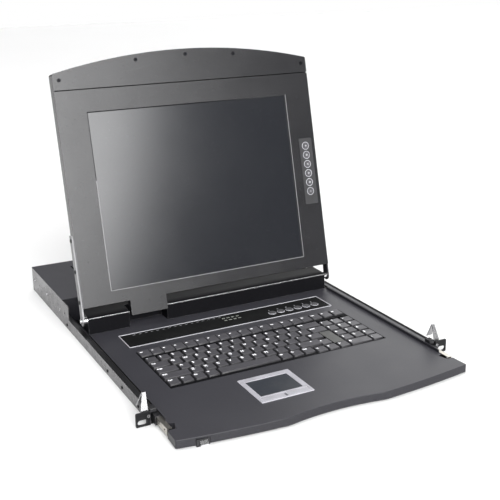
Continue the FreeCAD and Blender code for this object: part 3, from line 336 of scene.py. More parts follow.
def copy_of(obj):
    twin = obj.copy()
    twin.data = obj.data.copy()
    bpy.context.scene.collection.objects.link(twin)
    return twin


def select_faces(obj, wanted):
    """In edit mode, select the faces whose centre and normal satisfy the test."""
    mesh = bmesh.from_edit_mesh(obj.data)
    mesh.select_mode = {"FACE"}
    for face in mesh.faces:
        face.select = bool(wanted(face.calc_center_median(), face.normal))
    mesh.select_flush_mode()
    bmesh.update_edit_mesh(obj.data)


def select_edges(obj, wanted):
    """In edit mode, select the edges whose two end points satisfy the test."""
    bpy.ops.mesh.select_mode(type="EDGE")
    mesh = bmesh.from_edit_mesh(obj.data)
    for face in mesh.faces:
        face.select = False
    for edge in mesh.edges:
        edge.select = bool(wanted(edge.verts[0].co, edge.verts[1].co))
    mesh.select_flush_mode()
    bmesh.update_edit_mesh(obj.data)


def box_round(points):
    """Lowest and highest corner of the box round some points."""
    columns = list(zip(*points))
    return Vector([min(column) for column in columns]), Vector([max(column) for column in columns])


def middle(box):
    return (box[0] + box[1]) / 2


def loose_points(node):
    """The corners of every separate solid in a CAD node."""
    mesh = bmesh.new()
    mesh.from_mesh(NODES[node].data)
    bmesh.ops.remove_doubles(mesh, verts=mesh.verts, dist=SAME_POINT)
    seen = set()
    solids = []
    for start in mesh.verts:
        if start.index in seen:
            continue
        stack, corners = [start], []
        seen.add(start.index)
        while stack:
            vertex = stack.pop()
            corners.append(vertex.co.copy())
            for edge in vertex.link_edges:
                other = edge.other_vert(vertex)
                if other.index not in seen:
                    seen.add(other.index)
                    stack.append(other)
        solids.append(corners)
    mesh.free()
    return solids


def loose_boxes(node):
    """The box of every separate solid in a CAD node."""
    return [box_round(corners) for corners in loose_points(node)]


def upright_box(node):
    """A display node's box, with the display turned upright about the hinge."""
    turn = Matrix.Rotation(DISPLAY_TILT, 3, "X")
    return box_round([turn @ (vertex.co - HINGE) for vertex in NODES[node].data.vertices])


def lean(obj):
    """Tip a piece that was made upright about the hinge axis, back into the display's place."""
    obj.matrix_world = (Matrix.Translation(HINGE) @ Matrix.Rotation(-DISPLAY_TILT, 4, "X")
                        @ obj.matrix_world)
    return obj


def bar(low, high, edge=0.0):
    """A block between two corners, its edges rounded if an edge is given."""
    low, high = Vector(low), Vector(high)
    bpy.ops.mesh.primitive_cube_add(size=1.0, location=(low + high) / 2, scale=high - low)
    block = fix_place(bpy.context.object)
    if edge:
        with editing(block):
            bpy.ops.mesh.select_all(action="SELECT")
            bpy.ops.mesh.bevel(offset=edge, segments=2, affect="EDGES")
    return block


def ring(centre, axis):
    """A button's ring with a raised crown, standing on its centre and facing along its axis."""
    look = settings().details
    crown = (look.ring_inner + look.ring_outer) / 2
    turn = (QUARTER_TURN if axis == FORWARD else 0.0, 0.0, 0.0)
    bpy.ops.mesh.primitive_circle_add(vertices=RING_SIDES, radius=look.ring_inner,
                                      fill_type="NOTHING", location=centre, rotation=turn)
    band = fix_place(bpy.context.object)
    height = look.ring_height
    with editing(band):
        bpy.ops.mesh.select_all(action="SELECT")
        for grow, rise in ((crown / look.ring_inner, height), (look.ring_outer / crown, -height)):
            bpy.ops.mesh.extrude_edges_move(TRANSFORM_OT_translate={"value": axis * rise})
            bpy.ops.transform.resize(value=(grow, grow, grow),
                                     center_override=centre + axis * max(rise, 0.0))
    mesh = bmesh.new()
    mesh.from_mesh(band.data)
    bmesh.ops.bridge_loops(mesh, edges=[edge for edge in mesh.edges if edge.is_boundary])
    bmesh.ops.recalc_face_normals(mesh, faces=mesh.faces)
    mesh.to_mesh(band.data)
    mesh.free()
    return band


# ---- shader nodes ------------------------------------------------------------------------------
# Most of a noise's values lie between these two.
GREYS = (0.3, 0.7)


def feed(tree, socket, value):
    """Link an output to a socket, or set the socket to a number or a colour."""
    if isinstance(value, bpy.types.NodeSocket):
        tree.links.new(value, socket)
    elif isinstance(value, (int, float)):
        socket.default_value = value
    else:
        socket.default_value = (*value, 1.0)


def new_group(name, defaults):
    """A shader node group with a named input for each default and a finish's three outputs."""
    group = bpy.data.node_groups.new(name, "ShaderNodeTree")
    for label, default in defaults.items():
        is_colour = isinstance(default, tuple)
        socket = group.interface.new_socket(
            name=label, in_out="INPUT",
            socket_type="NodeSocketColor" if is_colour else "NodeSocketFloat")
        socket.default_value = (*default, 1.0) if is_colour else default
    for label, kind in (("Colour", "NodeSocketColor"), ("Roughness", "NodeSocketFloat"),
                        ("Height", "NodeSocketFloat")):
        group.interface.new_socket(name=label, in_out="OUTPUT", socket_type=kind)
    given = group.nodes.new("NodeGroupInput").outputs
    return group, given, group.nodes.new("NodeGroupOutput").inputs


def object_coordinates(tree, stretch=(1.0, 1.0, 1.0)):
    where = tree.nodes.new("ShaderNodeTexCoord")
    mapping = tree.nodes.new("ShaderNodeMapping")
    mapping.inputs["Scale"].default_value = stretch
    tree.links.new(where.outputs["Object"], mapping.inputs["Vector"])
    return mapping.outputs["Vector"]


def noise(tree, where, scale, detail, roughness=0.6):
    node = tree.nodes.new("ShaderNodeTexNoise")
    for label, value in (("Vector", where), ("Scale", scale), ("Detail", detail),
                         ("Roughness", roughness)):
        feed(tree, node.inputs[label], value)
    return node.outputs["Fac"]


def spread(tree, source, low, high, start=0.0, end=1.0):
    """Map a grey value from start..end to low..high."""
    node = tree.nodes.new("ShaderNodeMapRange")
    for label, value in (("From Min", start), ("From Max", end), ("To Min", low),
                         ("To Max", high), ("Value", source)):
        feed(tree, node.inputs[label], value)
    return node.outputs["Result"]


def arithmetic(tree, operation, first, second):
    node = tree.nodes.new("ShaderNodeMath")
    node.operation = operation
    feed(tree, node.inputs[0], first)
    feed(tree, node.inputs[1], second)
    return node.outputs["Value"]


def times(tree, total, *factors):
    for factor in factors:
        total = arithmetic(tree, "MULTIPLY", total, factor)
    return total


def plus(tree, total, *parts):
    for part in parts:
        total = arithmetic(tree, "ADD", total, part)
    return total


def scaled(tree, rgb, factor):
    node = tree.nodes.new("ShaderNodeVectorMath")
    node.operation = "SCALE"
    tree.links.new(rgb, node.inputs[0])
    tree.links.new(factor, node.inputs["Scale"])
    return node.outputs["Vector"]


def mix_colour(tree, factor, first, second):
    node = tree.nodes.new("ShaderNodeMix")
    node.data_type = "RGBA"
    inputs = {socket.identifier: socket for socket in node.inputs}
    for label, value in (("Factor_Float", factor), ("A_Color", first), ("B_Color", second)):
        feed(tree, inputs[label], value)
    return next(socket for socket in node.outputs if socket.identifier == "Result_Color")


def edge_mask(tree, radius):
    """Where a surface turns over an edge, from 0 on the flat to 1 on the edge."""
    soft = tree.nodes.new("ShaderNodeBevel")
    soft.samples = 4
    soft.inputs["Radius"].default_value = radius
    flat = tree.nodes.new("ShaderNodeNewGeometry")
    turn = tree.nodes.new("ShaderNodeVectorMath")
    turn.operation = "DOT_PRODUCT"
    tree.links.new(soft.outputs["Normal"], turn.inputs[0])
    tree.links.new(flat.outputs["Normal"], turn.inputs[1])
    return spread(tree, turn.outputs["Value"], 0.0, 1.0, 0.995, 0.90)


def facing_up(tree):
    """Where a surface looks upwards, from 0 on a wall to 1 on a level face."""
    split = tree.nodes.new("ShaderNodeSeparateXYZ")
    faces = tree.nodes.new("ShaderNodeNewGeometry")
    tree.links.new(faces.outputs["True Normal"], split.inputs[0])
    return spread(tree, split.outputs["Z"], 0.0, 1.0, 0.3, 0.95)


def powder_group():
    """Powder coat: fine orange-peel grain, scuffed edges that are partly a painted highlight,
    specks of dust, and level faces made lighter, partly by dust and partly as painted top light.
    """
    group, given, out = new_group("Powder coat", {
        "Colour": (0.03, 0.03, 0.035), "Edge": (0.2, 0.2, 0.2), "Dust": (0.2, 0.2, 0.2),
        "Roughness": 0.45, "Edge wear": 0.25, "Dust amount": 0.15, "Level dust and top light": 0.08})
    where = object_coordinates(group)
    grain = noise(group, where, 900.0, 2.0)
    cloud = noise(group, where, 14.0, 5.0)
    patch = noise(group, where, 90.0, 4.0)
    speck = noise(group, where, 420.0, 1.0, 0.4)
    shade = times(group, spread(group, cloud, 0.95, 1.05, *GREYS),
                  spread(group, grain, 0.72, 1.34, *GREYS))
    # Edges turned towards the edge colour in patches: partly scuffed paint, partly a painted
    # highlight.
    scuffed_lit_edges = times(group, edge_mask(group, 0.6 * MM), spread(group, patch, 0.25, 1.0, 0.40, 0.64),
                 given["Edge wear"])
    rubbing_and_light = mix_colour(group, scuffed_lit_edges, scaled(group, given["Colour"], shade), given["Edge"])
    # Dust specks, plus level faces made lighter: partly dust lying there, partly painted top light
    # that leaves upright faces darker.
    dust_and_top_light = plus(group,
                 times(group, spread(group, speck, 0.0, 1.0, 0.62, 0.82), given["Dust amount"]),
                 times(group, facing_up(group), given["Level dust and top light"]))
    feed(group, out["Colour"], mix_colour(group, dust_and_top_light, rubbing_and_light, given["Dust"]))
    feed(group, out["Roughness"],
         plus(group, given["Roughness"], spread(group, cloud, -0.03, 0.03, *GREYS),
              times(group, dust_and_top_light, 0.4)))
    feed(group, out["Height"], grain)
    return group


def sheet_metal_group():
    """Plated sheet: faint crystals, rolling lines, smears, and cut edges painted brighter as a
    highlight.
    """
    group, given, out = new_group("Plated sheet", {
        "Colour": (0.5, 0.5, 0.5), "Crystal scale": 110.0, "Crystal strength": 0.2,
        "Roughness": 0.35})
    where = object_coordinates(group)
    crystal = group.nodes.new("ShaderNodeTexVoronoi")
    feed(group, crystal.inputs["Vector"], where)
    feed(group, crystal.inputs["Scale"], given["Crystal scale"])
    grey = group.nodes.new("ShaderNodeSeparateColor")
    feed(group, grey.inputs["Color"], crystal.outputs["Color"])
    flake = times(group, spread(group, grey.outputs["Red"], -0.5, 0.5), given["Crystal strength"])
    lines = noise(group, object_coordinates(group, (14.0, 0.4, 14.0)), 60.0, 4.0, 0.65)
    smear = noise(group, where, 12.0, 5.0)
    change = plus(group, flake, spread(group, lines, -0.07, 0.07, *GREYS),
                  spread(group, smear, -0.08, 0.08, *GREYS))
    # Edges up to 1.45 times lighter: a painted highlight.
    shade = plus(group, change, 1.0, times(group, edge_mask(group, 0.5 * MM), 0.45))
    feed(group, out["Colour"], scaled(group, given["Colour"], shade))
    feed(group, out["Roughness"],
         arithmetic(group, "SUBTRACT", given["Roughness"], times(group, change, 0.5)))
    feed(group, out["Height"], lines)
    return group


def moulding_group():
    """Moulded plastic: spark-eroded grain, edges painted lighter as a highlight, level faces
    painted lighter as top light, and a shine where fingers rub.
    """
    group, given, out = new_group("Moulded plastic", {
        "Colour": (0.04, 0.04, 0.045), "Grain scale": 2200.0, "Roughness": 0.5,
        "Shine patches": 0.1, "Painted top light": 0.0})
    where = object_coordinates(group)
    grain = noise(group, where, given["Grain scale"], 2.0)
    cloud = noise(group, where, 38.0, 4.0)
    # Level faces made lighter by the top amount: painted top light.
    top = times(group, facing_up(group), given["Painted top light"])
    shade = times(group, spread(group, cloud, 0.86, 1.16, *GREYS),
                  spread(group, grain, 0.9, 1.1, *GREYS),
                  # Edges up to 1.7 times lighter: a painted highlight.
                  spread(group, edge_mask(group, 0.5 * MM), 1.0, 1.7), plus(group, top, 1.0))
    shine = times(group, spread(group, cloud, 0.0, 1.0, 0.45, 0.62), given["Shine patches"])
    feed(group, out["Colour"], scaled(group, given["Colour"], shade))
    feed(group, out["Roughness"], arithmetic(group, "SUBTRACT", given["Roughness"], shine))
    feed(group, out["Height"], grain)
    return group


GROUP_MAKERS = {"powder": powder_group, "sheet": sheet_metal_group, "moulding": moulding_group}
GROUPS = {}


def shared_group(name):
    if name not in GROUPS:
        GROUPS[name] = GROUP_MAKERS[name]()
    return GROUPS[name]


# ---- materials ---------------------------------------------------------------------------------
BUMP_DEPTH = 0.2 * MM
COAT_ROUGHNESS = 0.1
# How much lighter the mask is over a track.
TRACK_LIFT = 1.9


def new_material(name):
    """A material, its node tree and the inputs of its shader."""
    material = bpy.data.materials.new(name)
    material.use_nodes = True
    tree = material.node_tree
    return material, tree, tree.nodes["Principled BSDF"].inputs


def finish_material(name, kind, values, bump, metallic=0.0, coat=0.0, specular=0.5):
    """A material that places one shared group with its values and feeds the shader from it."""
    material, tree, shader = new_material(name)
    effect = tree.nodes.new("ShaderNodeGroup")
    effect.node_tree = shared_group(kind)
    for label, value in values.items():
        feed(tree, effect.inputs[label], value)
    relief = tree.nodes.new("ShaderNodeBump")
    relief.inputs["Strength"].default_value = bump
    relief.inputs["Distance"].default_value = BUMP_DEPTH
    feed(tree, relief.inputs["Height"], effect.outputs["Height"])
    feed(tree, shader["Base Color"], effect.outputs["Colour"])
    feed(tree, shader["Roughness"], effect.outputs["Roughness"])
    feed(tree, shader["Normal"], relief.outputs["Normal"])
    shader["Metallic"].default_value = metallic
    shader["Coat Weight"].default_value = coat
    shader["Coat Roughness"].default_value = COAT_ROUGHNESS
    shader["Specular IOR Level"].default_value = specular
    return material


def powder(name, rgb, roughness=0.42, scuff_and_highlight=0.35, dust=0.10, level_dust_and_light=0.0, bump=0.25, specular=0.5):
    look = settings().finish
    values = {"Colour": rgb, "Edge": look.worn_edge, "Dust": look.dust, "Roughness": roughness,
              "Edge wear": scuff_and_highlight, "Dust amount": dust, "Level dust and top light": level_dust_and_light}
    return finish_material(name, "powder", values, bump, specular=specular)


def plated(name, rgb, crystal, strength, roughness, bump=0.05):
    values = {"Colour": rgb, "Crystal scale": crystal, "Crystal strength": strength,
              "Roughness": roughness}
    return finish_material(name, "sheet", values, bump, metallic=1.0)


def moulded(name, rgb, grain=2400.0, roughness=0.5, shine=0.05, bump=0.02, coat=0.0, specular=0.5,
            rubbing_and_light=0.0):
    values = {"Colour": rgb, "Grain scale": grain, "Roughness": roughness, "Shine patches": shine,
              "Painted top light": rubbing_and_light}
    return finish_material(name, "moulding", values, bump, coat=coat, specular=specular)


def screen_material(rgb, fleck_rgb):
    """Dark panel under a satin front polariser, with faint dust and wiping marks."""
    material, tree, shader = new_material("screen_film")
    where = object_coordinates(tree)
    wipe = noise(tree, where, 7.0, 4.0)
    dots = noise(tree, where, 700.0, 1.0, 0.4)
    fleck = spread(tree, dots, 0.0, 0.25, 0.66, 0.86)
    feed(tree, shader["Base Color"], mix_colour(tree, fleck, rgb, fleck_rgb))
    feed(tree, shader["Roughness"], spread(tree, wipe, 0.12, 0.16, *GREYS))
    shader["Coat Weight"].default_value = 0.25
    shader["Coat Roughness"].default_value = 0.12
    return material


def board_material(rgb):
    """Solder mask with buried tracks."""
    material, tree, shader = new_material("solder_mask")
    tracks = tree.nodes.new("ShaderNodeTexWave")
    tracks.inputs["Scale"].default_value = 90.0
    tracks.inputs["Distortion"].default_value = 6.0
    feed(tree, tracks.inputs["Vector"], object_coordinates(tree, (1.0, 0.3, 1.0)))
    mask = spread(tree, tracks.outputs["Fac"], 0.0, 1.0, 0.55, 0.65)
    track = [TRACK_LIFT * part for part in rgb]
    feed(tree, shader["Base Color"], mix_colour(tree, mask, rgb, track))
    feed(tree, shader["Roughness"], spread(tree, mask, 0.35, 0.25))
    return material


PAINTS = {}


def paints():
    """Every finish, made once from the settings."""
    if PAINTS:
        return PAINTS
    look = settings().finish
    PAINTS.update({
        # Level faces of the sheet made lighter: partly dust, partly painted top light.
        "powder_black": powder("powder_black", look.powder_black, level_dust_and_light=0.13, specular=0.45),
        "display_paint": powder("display_paint", look.display_black, roughness=0.24, dust=0.04,
                                bump=0.30),
        "ear_paint": powder("ear_paint", look.housing_black, roughness=0.40, dust=0.04,
                            specular=0.25),
        # Full edge lightening on the hinge housing: a painted highlight along its edges as well as
        # scuffing.
        "housing_paint": powder("housing_paint", look.housing_black, roughness=0.48, scuff_and_highlight=1.0,
                                dust=0.02, specular=0.07),
        "zinc": plated("zinc_sheet", look.zinc, 120.0, 0.16, 0.27, 0.08),
        "rail": plated("rail_steel", look.rail, 200.0, 0.08, 0.34, 0.08),
        # Darker copy of the rail steel: painted shade.
        "dark_rail": plated("shaded_rail_steel", look.dark_rail, 200.0, 0.08, 0.40, 0.08),
        "catch": plated("catch_steel", look.catch, 300.0, 0.05, 0.28),
        "nickel": plated("bright_nickel", look.nickel, 300.0, 0.05, 0.20),
        "blackened": plated("blackened_steel", look.blackened, 300.0, 0.05, 0.35),
        "arm": plated("arm_plate", look.arm, 300.0, 0.05, 0.34),
        "port_blue": moulded("port_blue", look.port_blue, 2600.0, 0.45, bump=0.05),
        "gold": plated("gold_contacts", look.gold, 900.0, 0.05, 0.25, 0.02),
        "lamp": moulded("lamp_lens", look.lamp, 1800.0, 0.25, coat=0.4),
        # Key tops made three times as light as their sides: painted top light.
        "key_cap": moulded("key_cap", look.key_cap, 2600.0, 0.48, 0.14, 0.15, specular=0.35,
                           rubbing_and_light=2.0),
        "moulded": moulded("moulded_black", look.moulded, 2200.0, 0.5, 0.1, 0.2),
        # Deeper black with little reflection: painted shade.
        "pan_black": moulded("pan_black", look.pan_black, 2200.0, 0.6, 0.1, 0.2, specular=0.08),
        "blank": moulded("blank_plate", look.blank, 2600.0, 0.5, 0.1, 0.12),
        "strip": moulded("strip_film", look.strip, 1500.0, bump=0.06, specular=0.04),
        "bevel_line": moulded("bevel_line", look.bevel_line, roughness=0.30, bump=0.03),
        "trim": moulded("bright_trim", look.trim, roughness=0.35, bump=0.03),
        "button": moulded("button_plastic", look.button, 2400.0, 0.38, 0.1, 0.1),
        "silver": moulded("silver_paint", look.silver, 3000.0, 0.36, bump=0.06),
        "pad": moulded("pad_film", look.pad, 2400.0, 0.40, 0.12, 0.05),
        "faint": moulded("faint_print", look.faint_print, 3000.0),
        "print": moulded("white_print", look.print_white, 3000.0),
        "screen": screen_material(look.screen, look.screen_fleck),
        "board": board_material(look.board),
    })
    return PAINTS


# Which nodes take which finish, by the start of their names; all others are powder coated.
WEARERS = {
    "zinc": ("chassis_tray", "drawer_pan", "power_supply"),
    "dark_rail": ("outer_rails", "middle_rails"),
    "rail": ("inner_rails",),
    "catch": ("release_clip", "chassis_fasteners"),
    "nickel": ("hinge_shafts", "front_latch"),
    "arm": ("hinge_arm_left",),
    "blackened": ("display_screws", "rail_screws"),
    "moulded": ("computer_ports", "power_inlet", "rail_stops", "latch_housing", "osd_panel"),
    "button": ("port_button", "osd_button", "power_rocker"),
    "board": ("switch_board",),
    "key_cap": ("keys_",),
    "pan_black": ("keyboard_frame",),
    "strip": ("control_strip",),
    "trim": ("strip_trim",),
    "silver": ("touchpad_frame", "touch_button"),
    "pad": ("touchpad_surface",),
    "display_paint": ("display_bezel", "arc_plate", "display_shell"),
    "screen": ("display_panel",),
    "ear_paint": ("ear_left", "ear_right"),
    "housing_paint": ("hinge_housing",),
}


def paint_of(node):
    return next((paint for paint, starts in WEARERS.items() if node.startswith(starts)),
                "powder_black")


class ConsolePaintFrame(bpy.types.Operator):
    """Give every carried-over piece its finish"""
    bl_idname = "console.paint_frame"
    bl_label = "Paint the construction"

    def execute(self, context):
        for node, obj in NODES.items():
            coated(obj, paint_of(node))
            for face in obj.data.polygons:
                face.material_index = 0
        return {"FINISHED"}


# ---- keyboard ----------------------------------------------------------------------------------
SMOOTH_ANGLE = math.radians(40)
# The middle face of a key's top lies within this share of the key's size from its middle.
TOP_FACE = 1 / 9
LEGENDS = {
    "function": (["Esc"] + ["F%d" % count for count in range(1, 13)]
                 + ["Prt", "Scr", "Brk", "Num", "Ins", "Del"]),
    "number": list("`1234567890-=") + ["Back"],
    "upper": ["Tab"] + list("QWERTYUIOP[]") + ["Enter"],
    "home": ["Caps"] + list("ASDFGHJKL;'") + ["#"],
    "lower": ["Shift"] + list("ZXCVBNM,./") + ["^"],
    "bottom": ["Ctrl", "Fn", "Alt", "<>", "", "Alt", "Fn", "Ctrl"],
    "arrows": ["<", "v", ">", "^"],
    "numbers": ["0", "."] + list("123") + list("456") + list("789") + list("/*-"),
}


def master_key(size):
    """One key cap of the given size with its base centred on the origin."""
    shape = settings().keys
    bpy.ops.mesh.primitive_cube_add(size=1.0, location=(0.0, 0.0, size.z / 2), scale=size)
    cap = fix_place(bpy.context.object)
    shrink = (1 - 2 * shape.top_taper / size.x, 1 - 2 * shape.top_taper / size.y, 1.0)
    reach = size * TOP_FACE
    with editing(cap):
        select_faces(cap, lambda centre, normal: normal.z > NEARLY)
        bpy.ops.transform.resize(value=shrink, center_override=(0.0, 0.0, size.z))
        select_edges(cap, lambda a, b: abs(a.z - b.z) > size.z / 2)
        bpy.ops.mesh.bevel(offset=shape.corner, segments=3, affect="EDGES")
        select_edges(cap, lambda a, b: min(a.z, b.z) > size.z * NEARLY)
        bpy.ops.mesh.bevel(offset=shape.rim, segments=2, affect="EDGES")
        select_faces(cap, lambda centre, normal: (normal.z > NEARLY and abs(centre.x) < reach.x
                                                  and abs(centre.y) < reach.y))
        bpy.ops.mesh.inset(thickness=shape.dish_inset)
        bpy.ops.mesh.poke(offset=-shape.dish)
    pick(cap)
    bpy.ops.object.shade_smooth_by_angle(angle=SMOOTH_ANGLE)
    return cap


def stretched(master, size, low, high):
    """A copy of the master key, its halves moved apart to fill the given box."""
    twin = copy_of(master)
    grow = (high - low - size) / 2
    rise = (high.z - low.z) / size.z
    foot = Vector((*middle((low, high)).xy, low.z))
    for vertex in twin.data.vertices:
        shift = Vector((math.copysign(grow.x, vertex.co.x), math.copysign(grow.y, vertex.co.y),
                        vertex.co.z * (rise - 1)))
        vertex.co = vertex.co + shift + foot
    return twin


def in_reading_order(boxes):
    """Front row first, then left to right."""
    return sorted(boxes, key=lambda box: (round(box[0].y, 3), box[0].x))


def printed_text(words, place, height, thickness):
    """Raised printing that lies flat and reads from the front, hung from its top left corner."""
    bpy.ops.object.text_add(location=place)
    line = bpy.context.object
    line.data.body = words
    line.data.size = height
    line.data.extrude = thickness
    line.data.offset = settings().keys.stroke
    line.data.resolution_u = 2
    line.data.align_x = "LEFT"
    line.data.align_y = "TOP"
    pick(line)
    bpy.ops.object.convert(target="MESH")
    return fix_place(bpy.context.object)


class ConsoleAddKeys(bpy.types.Operator):
    """Replace the plain keys by dished and rounded key caps"""
    bl_idname = "console.add_keys"
    bl_label = "Key caps"

    def execute(self, context):
        unit = loose_boxes("keys_arrows")[0]
        size = unit[1] - unit[0]
        master = master_key(size)
        for group in KEY_GROUPS:
            piece = join([stretched(master, size, low, high)
                          for low, high in loose_boxes("keys_" + group)])
            settle(coated(piece, "key_cap"), "key_caps_" + group, "keys_" + group)
            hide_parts("keys_" + group)
        bpy.data.objects.remove(master)
        return {"FINISHED"}


class ConsoleAddLegends(bpy.types.Operator):
    """Print plain generic legends on the key caps"""
    bl_idname = "console.add_legends"
    bl_label = "Key legends"

    def execute(self, context):
        shape = settings().keys
        inset = shape.top_taper + shape.legend_inset
        sink = shape.dish * shape.legend_sink
        for group in KEY_GROUPS:
            lines = []
            keys = in_reading_order(loose_boxes("keys_" + group))
            for words, (low, high) in zip(LEGENDS[group], keys):
                if not words:
                    continue
                size = shape.legend if len(words) == 1 else shape.word
                if group == "function":
                    size = shape.function_word
                lines.append(printed_text(words, (low.x + inset, high.y - inset, high.z - sink),
                                          size, shape.legend_lift + sink))
            settle(coated(join(lines), "print"), "legends_" + group, "keys_" + group)
        return {"FINISHED"}


# ---- buttons and marks -------------------------------------------------------------------------
MENU_MARKS = ("+", "o", "<", ">", "o", "-")
DASHES = 16
# Half the width of a digit, as a share of its height.
DIGIT_HALF = 1 / 3
LAMP_COLUMNS, LAMP_ROWS = 4, 2


class ConsoleAddRings(bpy.types.Operator):
    """Bright rings round the port buttons and the menu buttons"""
    bl_idname = "console.add_rings"
    bl_label = "Button rings"

    def execute(self, context):
        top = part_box("control_strip")[1].z
        face = upright_box("osd_panel")[0].y
        lying, standing = [], []
        for number in BUTTON_NUMBERS:
            centre = middle(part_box("port_button_%d" % number))
            centre.z = top
            lying.append(ring(centre, UP))
        settle(coated(join(lying), "trim"), "port_rings", "drawer")
        for number in BUTTON_NUMBERS:
            centre = middle(upright_box("osd_button_%d" % number))
            centre.y = face
            standing.append(ring(centre, FORWARD))
        settle(lean(coated(join(standing), "trim")), "menu_rings", "display")
        return {"FINISHED"}


class ConsoleAddMarks(bpy.types.Operator):
    """Printed marks: numbers at the port buttons, dashes on the strip, signs on the menu buttons"""
    bl_idname = "console.add_marks"
    bl_label = "Printed marks"

    def execute(self, context):
        look = settings().details
        low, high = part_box("control_strip")
        top = high.z
        marks = []
        for number in BUTTON_NUMBERS:
            near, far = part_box("port_button_%d" % number)
            place = (middle((near, far)).x - look.mark * DIGIT_HALF,
                     far.y + look.mark_gap + look.mark, top)
            marks.append(printed_text(str(number), place, look.mark, look.film))
        y = high.y - look.dash_back
        for step in range(DASHES):
            x = low.x + look.dash_start + step * look.dash_pitch
            marks.append(bar((x, y, top),
                             (x + look.dash_length, y + look.dash_width, top + look.film)))
        settle(coated(join(marks), "faint"), "strip_marks", "drawer")
        lamps = []
        for column in range(LAMP_COLUMNS):
            for row in range(LAMP_ROWS):
                x = look.lamp_x + column * look.lamp_pitch
                y = look.lamp_y + row * look.lamp_row
                lamps.append(bar((x, y, top), (x + look.lamp_length, y + look.lamp_width,
                                               top + look.lamp_rise), look.lamp_round))
        settle(coated(join(lamps), "lamp"), "strip_lamps", "drawer")
        for number, mark in zip(BUTTON_NUMBERS, MENU_MARKS):
            button = upright_box("osd_button_%d" % number)
            place = middle(button)
            place.y = button[0].y - look.film / 2
            sign = printed_text(mark, (0.0, 0.0, 0.0), look.sign, look.film)
            centre = middle(box_round([vertex.co for vertex in sign.data.vertices]))
            sign.data.transform(Matrix.Translation(-centre))
            sign.matrix_world = Matrix.Translation(place) @ Matrix.Rotation(QUARTER_TURN, 4, "X")
            settle(lean(coated(sign, "faint")), "menu_sign_%d" % number, "osd_%d" % number)
        return {"FINISHED"}


# ---- trims and plates --------------------------------------------------------------------------
class ConsoleAddScreenTrim(bpy.types.Operator):
    """Pale line along the bevelled edge of the screen opening, on the bottom, the right and part of
    the left: a painted highlight where the bevel catches the light
    """
    bl_idname = "console.add_screen_trim"
    bl_label = "Screen highlight"

    def execute(self, context):
        look = settings().details
        low, high = upright_box("display_panel")
        inset = look.panel_overlap - look.bevel
        left, right, foot, top = low.x + inset, high.x - inset, low.z + inset, high.z - inset
        face = upright_box("display_bezel")[0].y
        front, back = face - look.screen_trim_height / 2, face + look.screen_trim_height / 2
        wide = look.screen_trim
        part_way = foot + (top - foot) * look.trim_share
        bars = [bar((left, front, foot), (right, back, foot + wide)),
                bar((left, front, foot), (left + wide, back, part_way)),
                bar((right - wide, front, foot), (right, back, top))]
        settle(lean(coated(join(bars), "bevel_line")), "screen_trim", "display")
        return {"FINISHED"}


class ConsoleAddBlankPlate(bpy.types.Operator):
    """Plain plate between the main keys and the number pad"""
    bl_idname = "console.add_blank_plate"
    bl_label = "Blank plate"

    def execute(self, context):
        look = settings().details
        x1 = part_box("keys_numbers")[0].x - look.plate_gap
        x0 = x1 - look.plate_width
        y0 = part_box("keys_arrows")[0].y + look.plate_start
        y1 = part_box("keys_upper")[0].y - look.plate_gap
        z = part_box("keyboard_frame")[1].z
        plate = bar((x0, y0, z - look.plate_round), (x1, y1, z + look.plate_rise), look.plate_round)
        settle(coated(plate, "blank"), "blank_plate", "drawer")
        return {"FINISHED"}


class ConsoleAddBead(bpy.types.Operator):
    """Bright metal bead along the front edge of the hinge housing, either side of the cable tab: a
    painted highlight of that edge, which catches the light
    """
    bl_idname = "console.add_bead"
    bl_label = "Housing edge highlight"

    def execute(self, context):
        look = settings().details
        low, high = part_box("hinge_housing")
        y = low.y + look.bead_back
        z = high.z - look.brow_drop
        edge_highlights = [bar((x0, y, z - look.bead_foot), (x1, y + look.bead_width, z + look.bead_rise),
                     look.bead_round)
                 for x0, x1 in ((low.x + look.bead_end, look.tab_left),
                                (look.tab_right, high.x - look.bead_end))]
        settle(coated(join(edge_highlights), "catch"), "housing_edge_highlight", "drawer")
        return {"FINISHED"}


# ---- computer ports ----------------------------------------------------------------------------
PIN_ROWS, PIN_COLUMNS = 3, 5
PIN_SIDES, POST_SIDES = 8, 6


def port_shell(depth):
    """A port's tapered metal shell with its sunk insulator, facing the back."""
    shape = settings().ports
    bpy.ops.mesh.primitive_cube_add(size=1.0, location=(0.0, depth / 2, 0.0),
                                    scale=(shape.width, depth, shape.height))
    shell = coated(fix_place(bpy.context.object), "rail")
    shell.data.materials.append(paints()["port_blue"])
    with editing(shell):
        select_edges(shell, lambda a, b: max(a.z, b.z) < 0.0)
        bpy.ops.transform.resize(value=(shape.taper, 1.0, 1.0), center_override=(0.0, 0.0, 0.0))
        select_edges(shell, lambda a, b: abs(a.y - b.y) > depth / 2)
        bpy.ops.mesh.bevel(offset=shape.corner, segments=4, affect="EDGES")
        select_faces(shell, lambda centre, normal: normal.y > NEARLY)
        bpy.ops.mesh.inset(thickness=shape.wall)
        shell.active_material_index = 1
        bpy.ops.object.material_slot_assign()
        bpy.ops.mesh.extrude_region_move(TRANSFORM_OT_translate={"value": (0.0, -shape.rim, 0.0)})
    return shell


def rod(radius, foot, reach, sides):
    """A straight rod from its foot towards the back, with a turned edge at its end."""
    bpy.ops.mesh.primitive_cylinder_add(vertices=sides, radius=radius, depth=reach,
                                        location=foot + Vector((0.0, reach / 2, 0.0)),
                                        rotation=(QUARTER_TURN, 0.0, 0.0))
    piece = fix_place(bpy.context.object)
    with editing(piece):
        select_faces(piece, lambda centre, normal: normal.y > NEARLY)
        bpy.ops.mesh.bevel(offset=radius * settings().ports.edge, segments=1, affect="EDGES")
    return piece


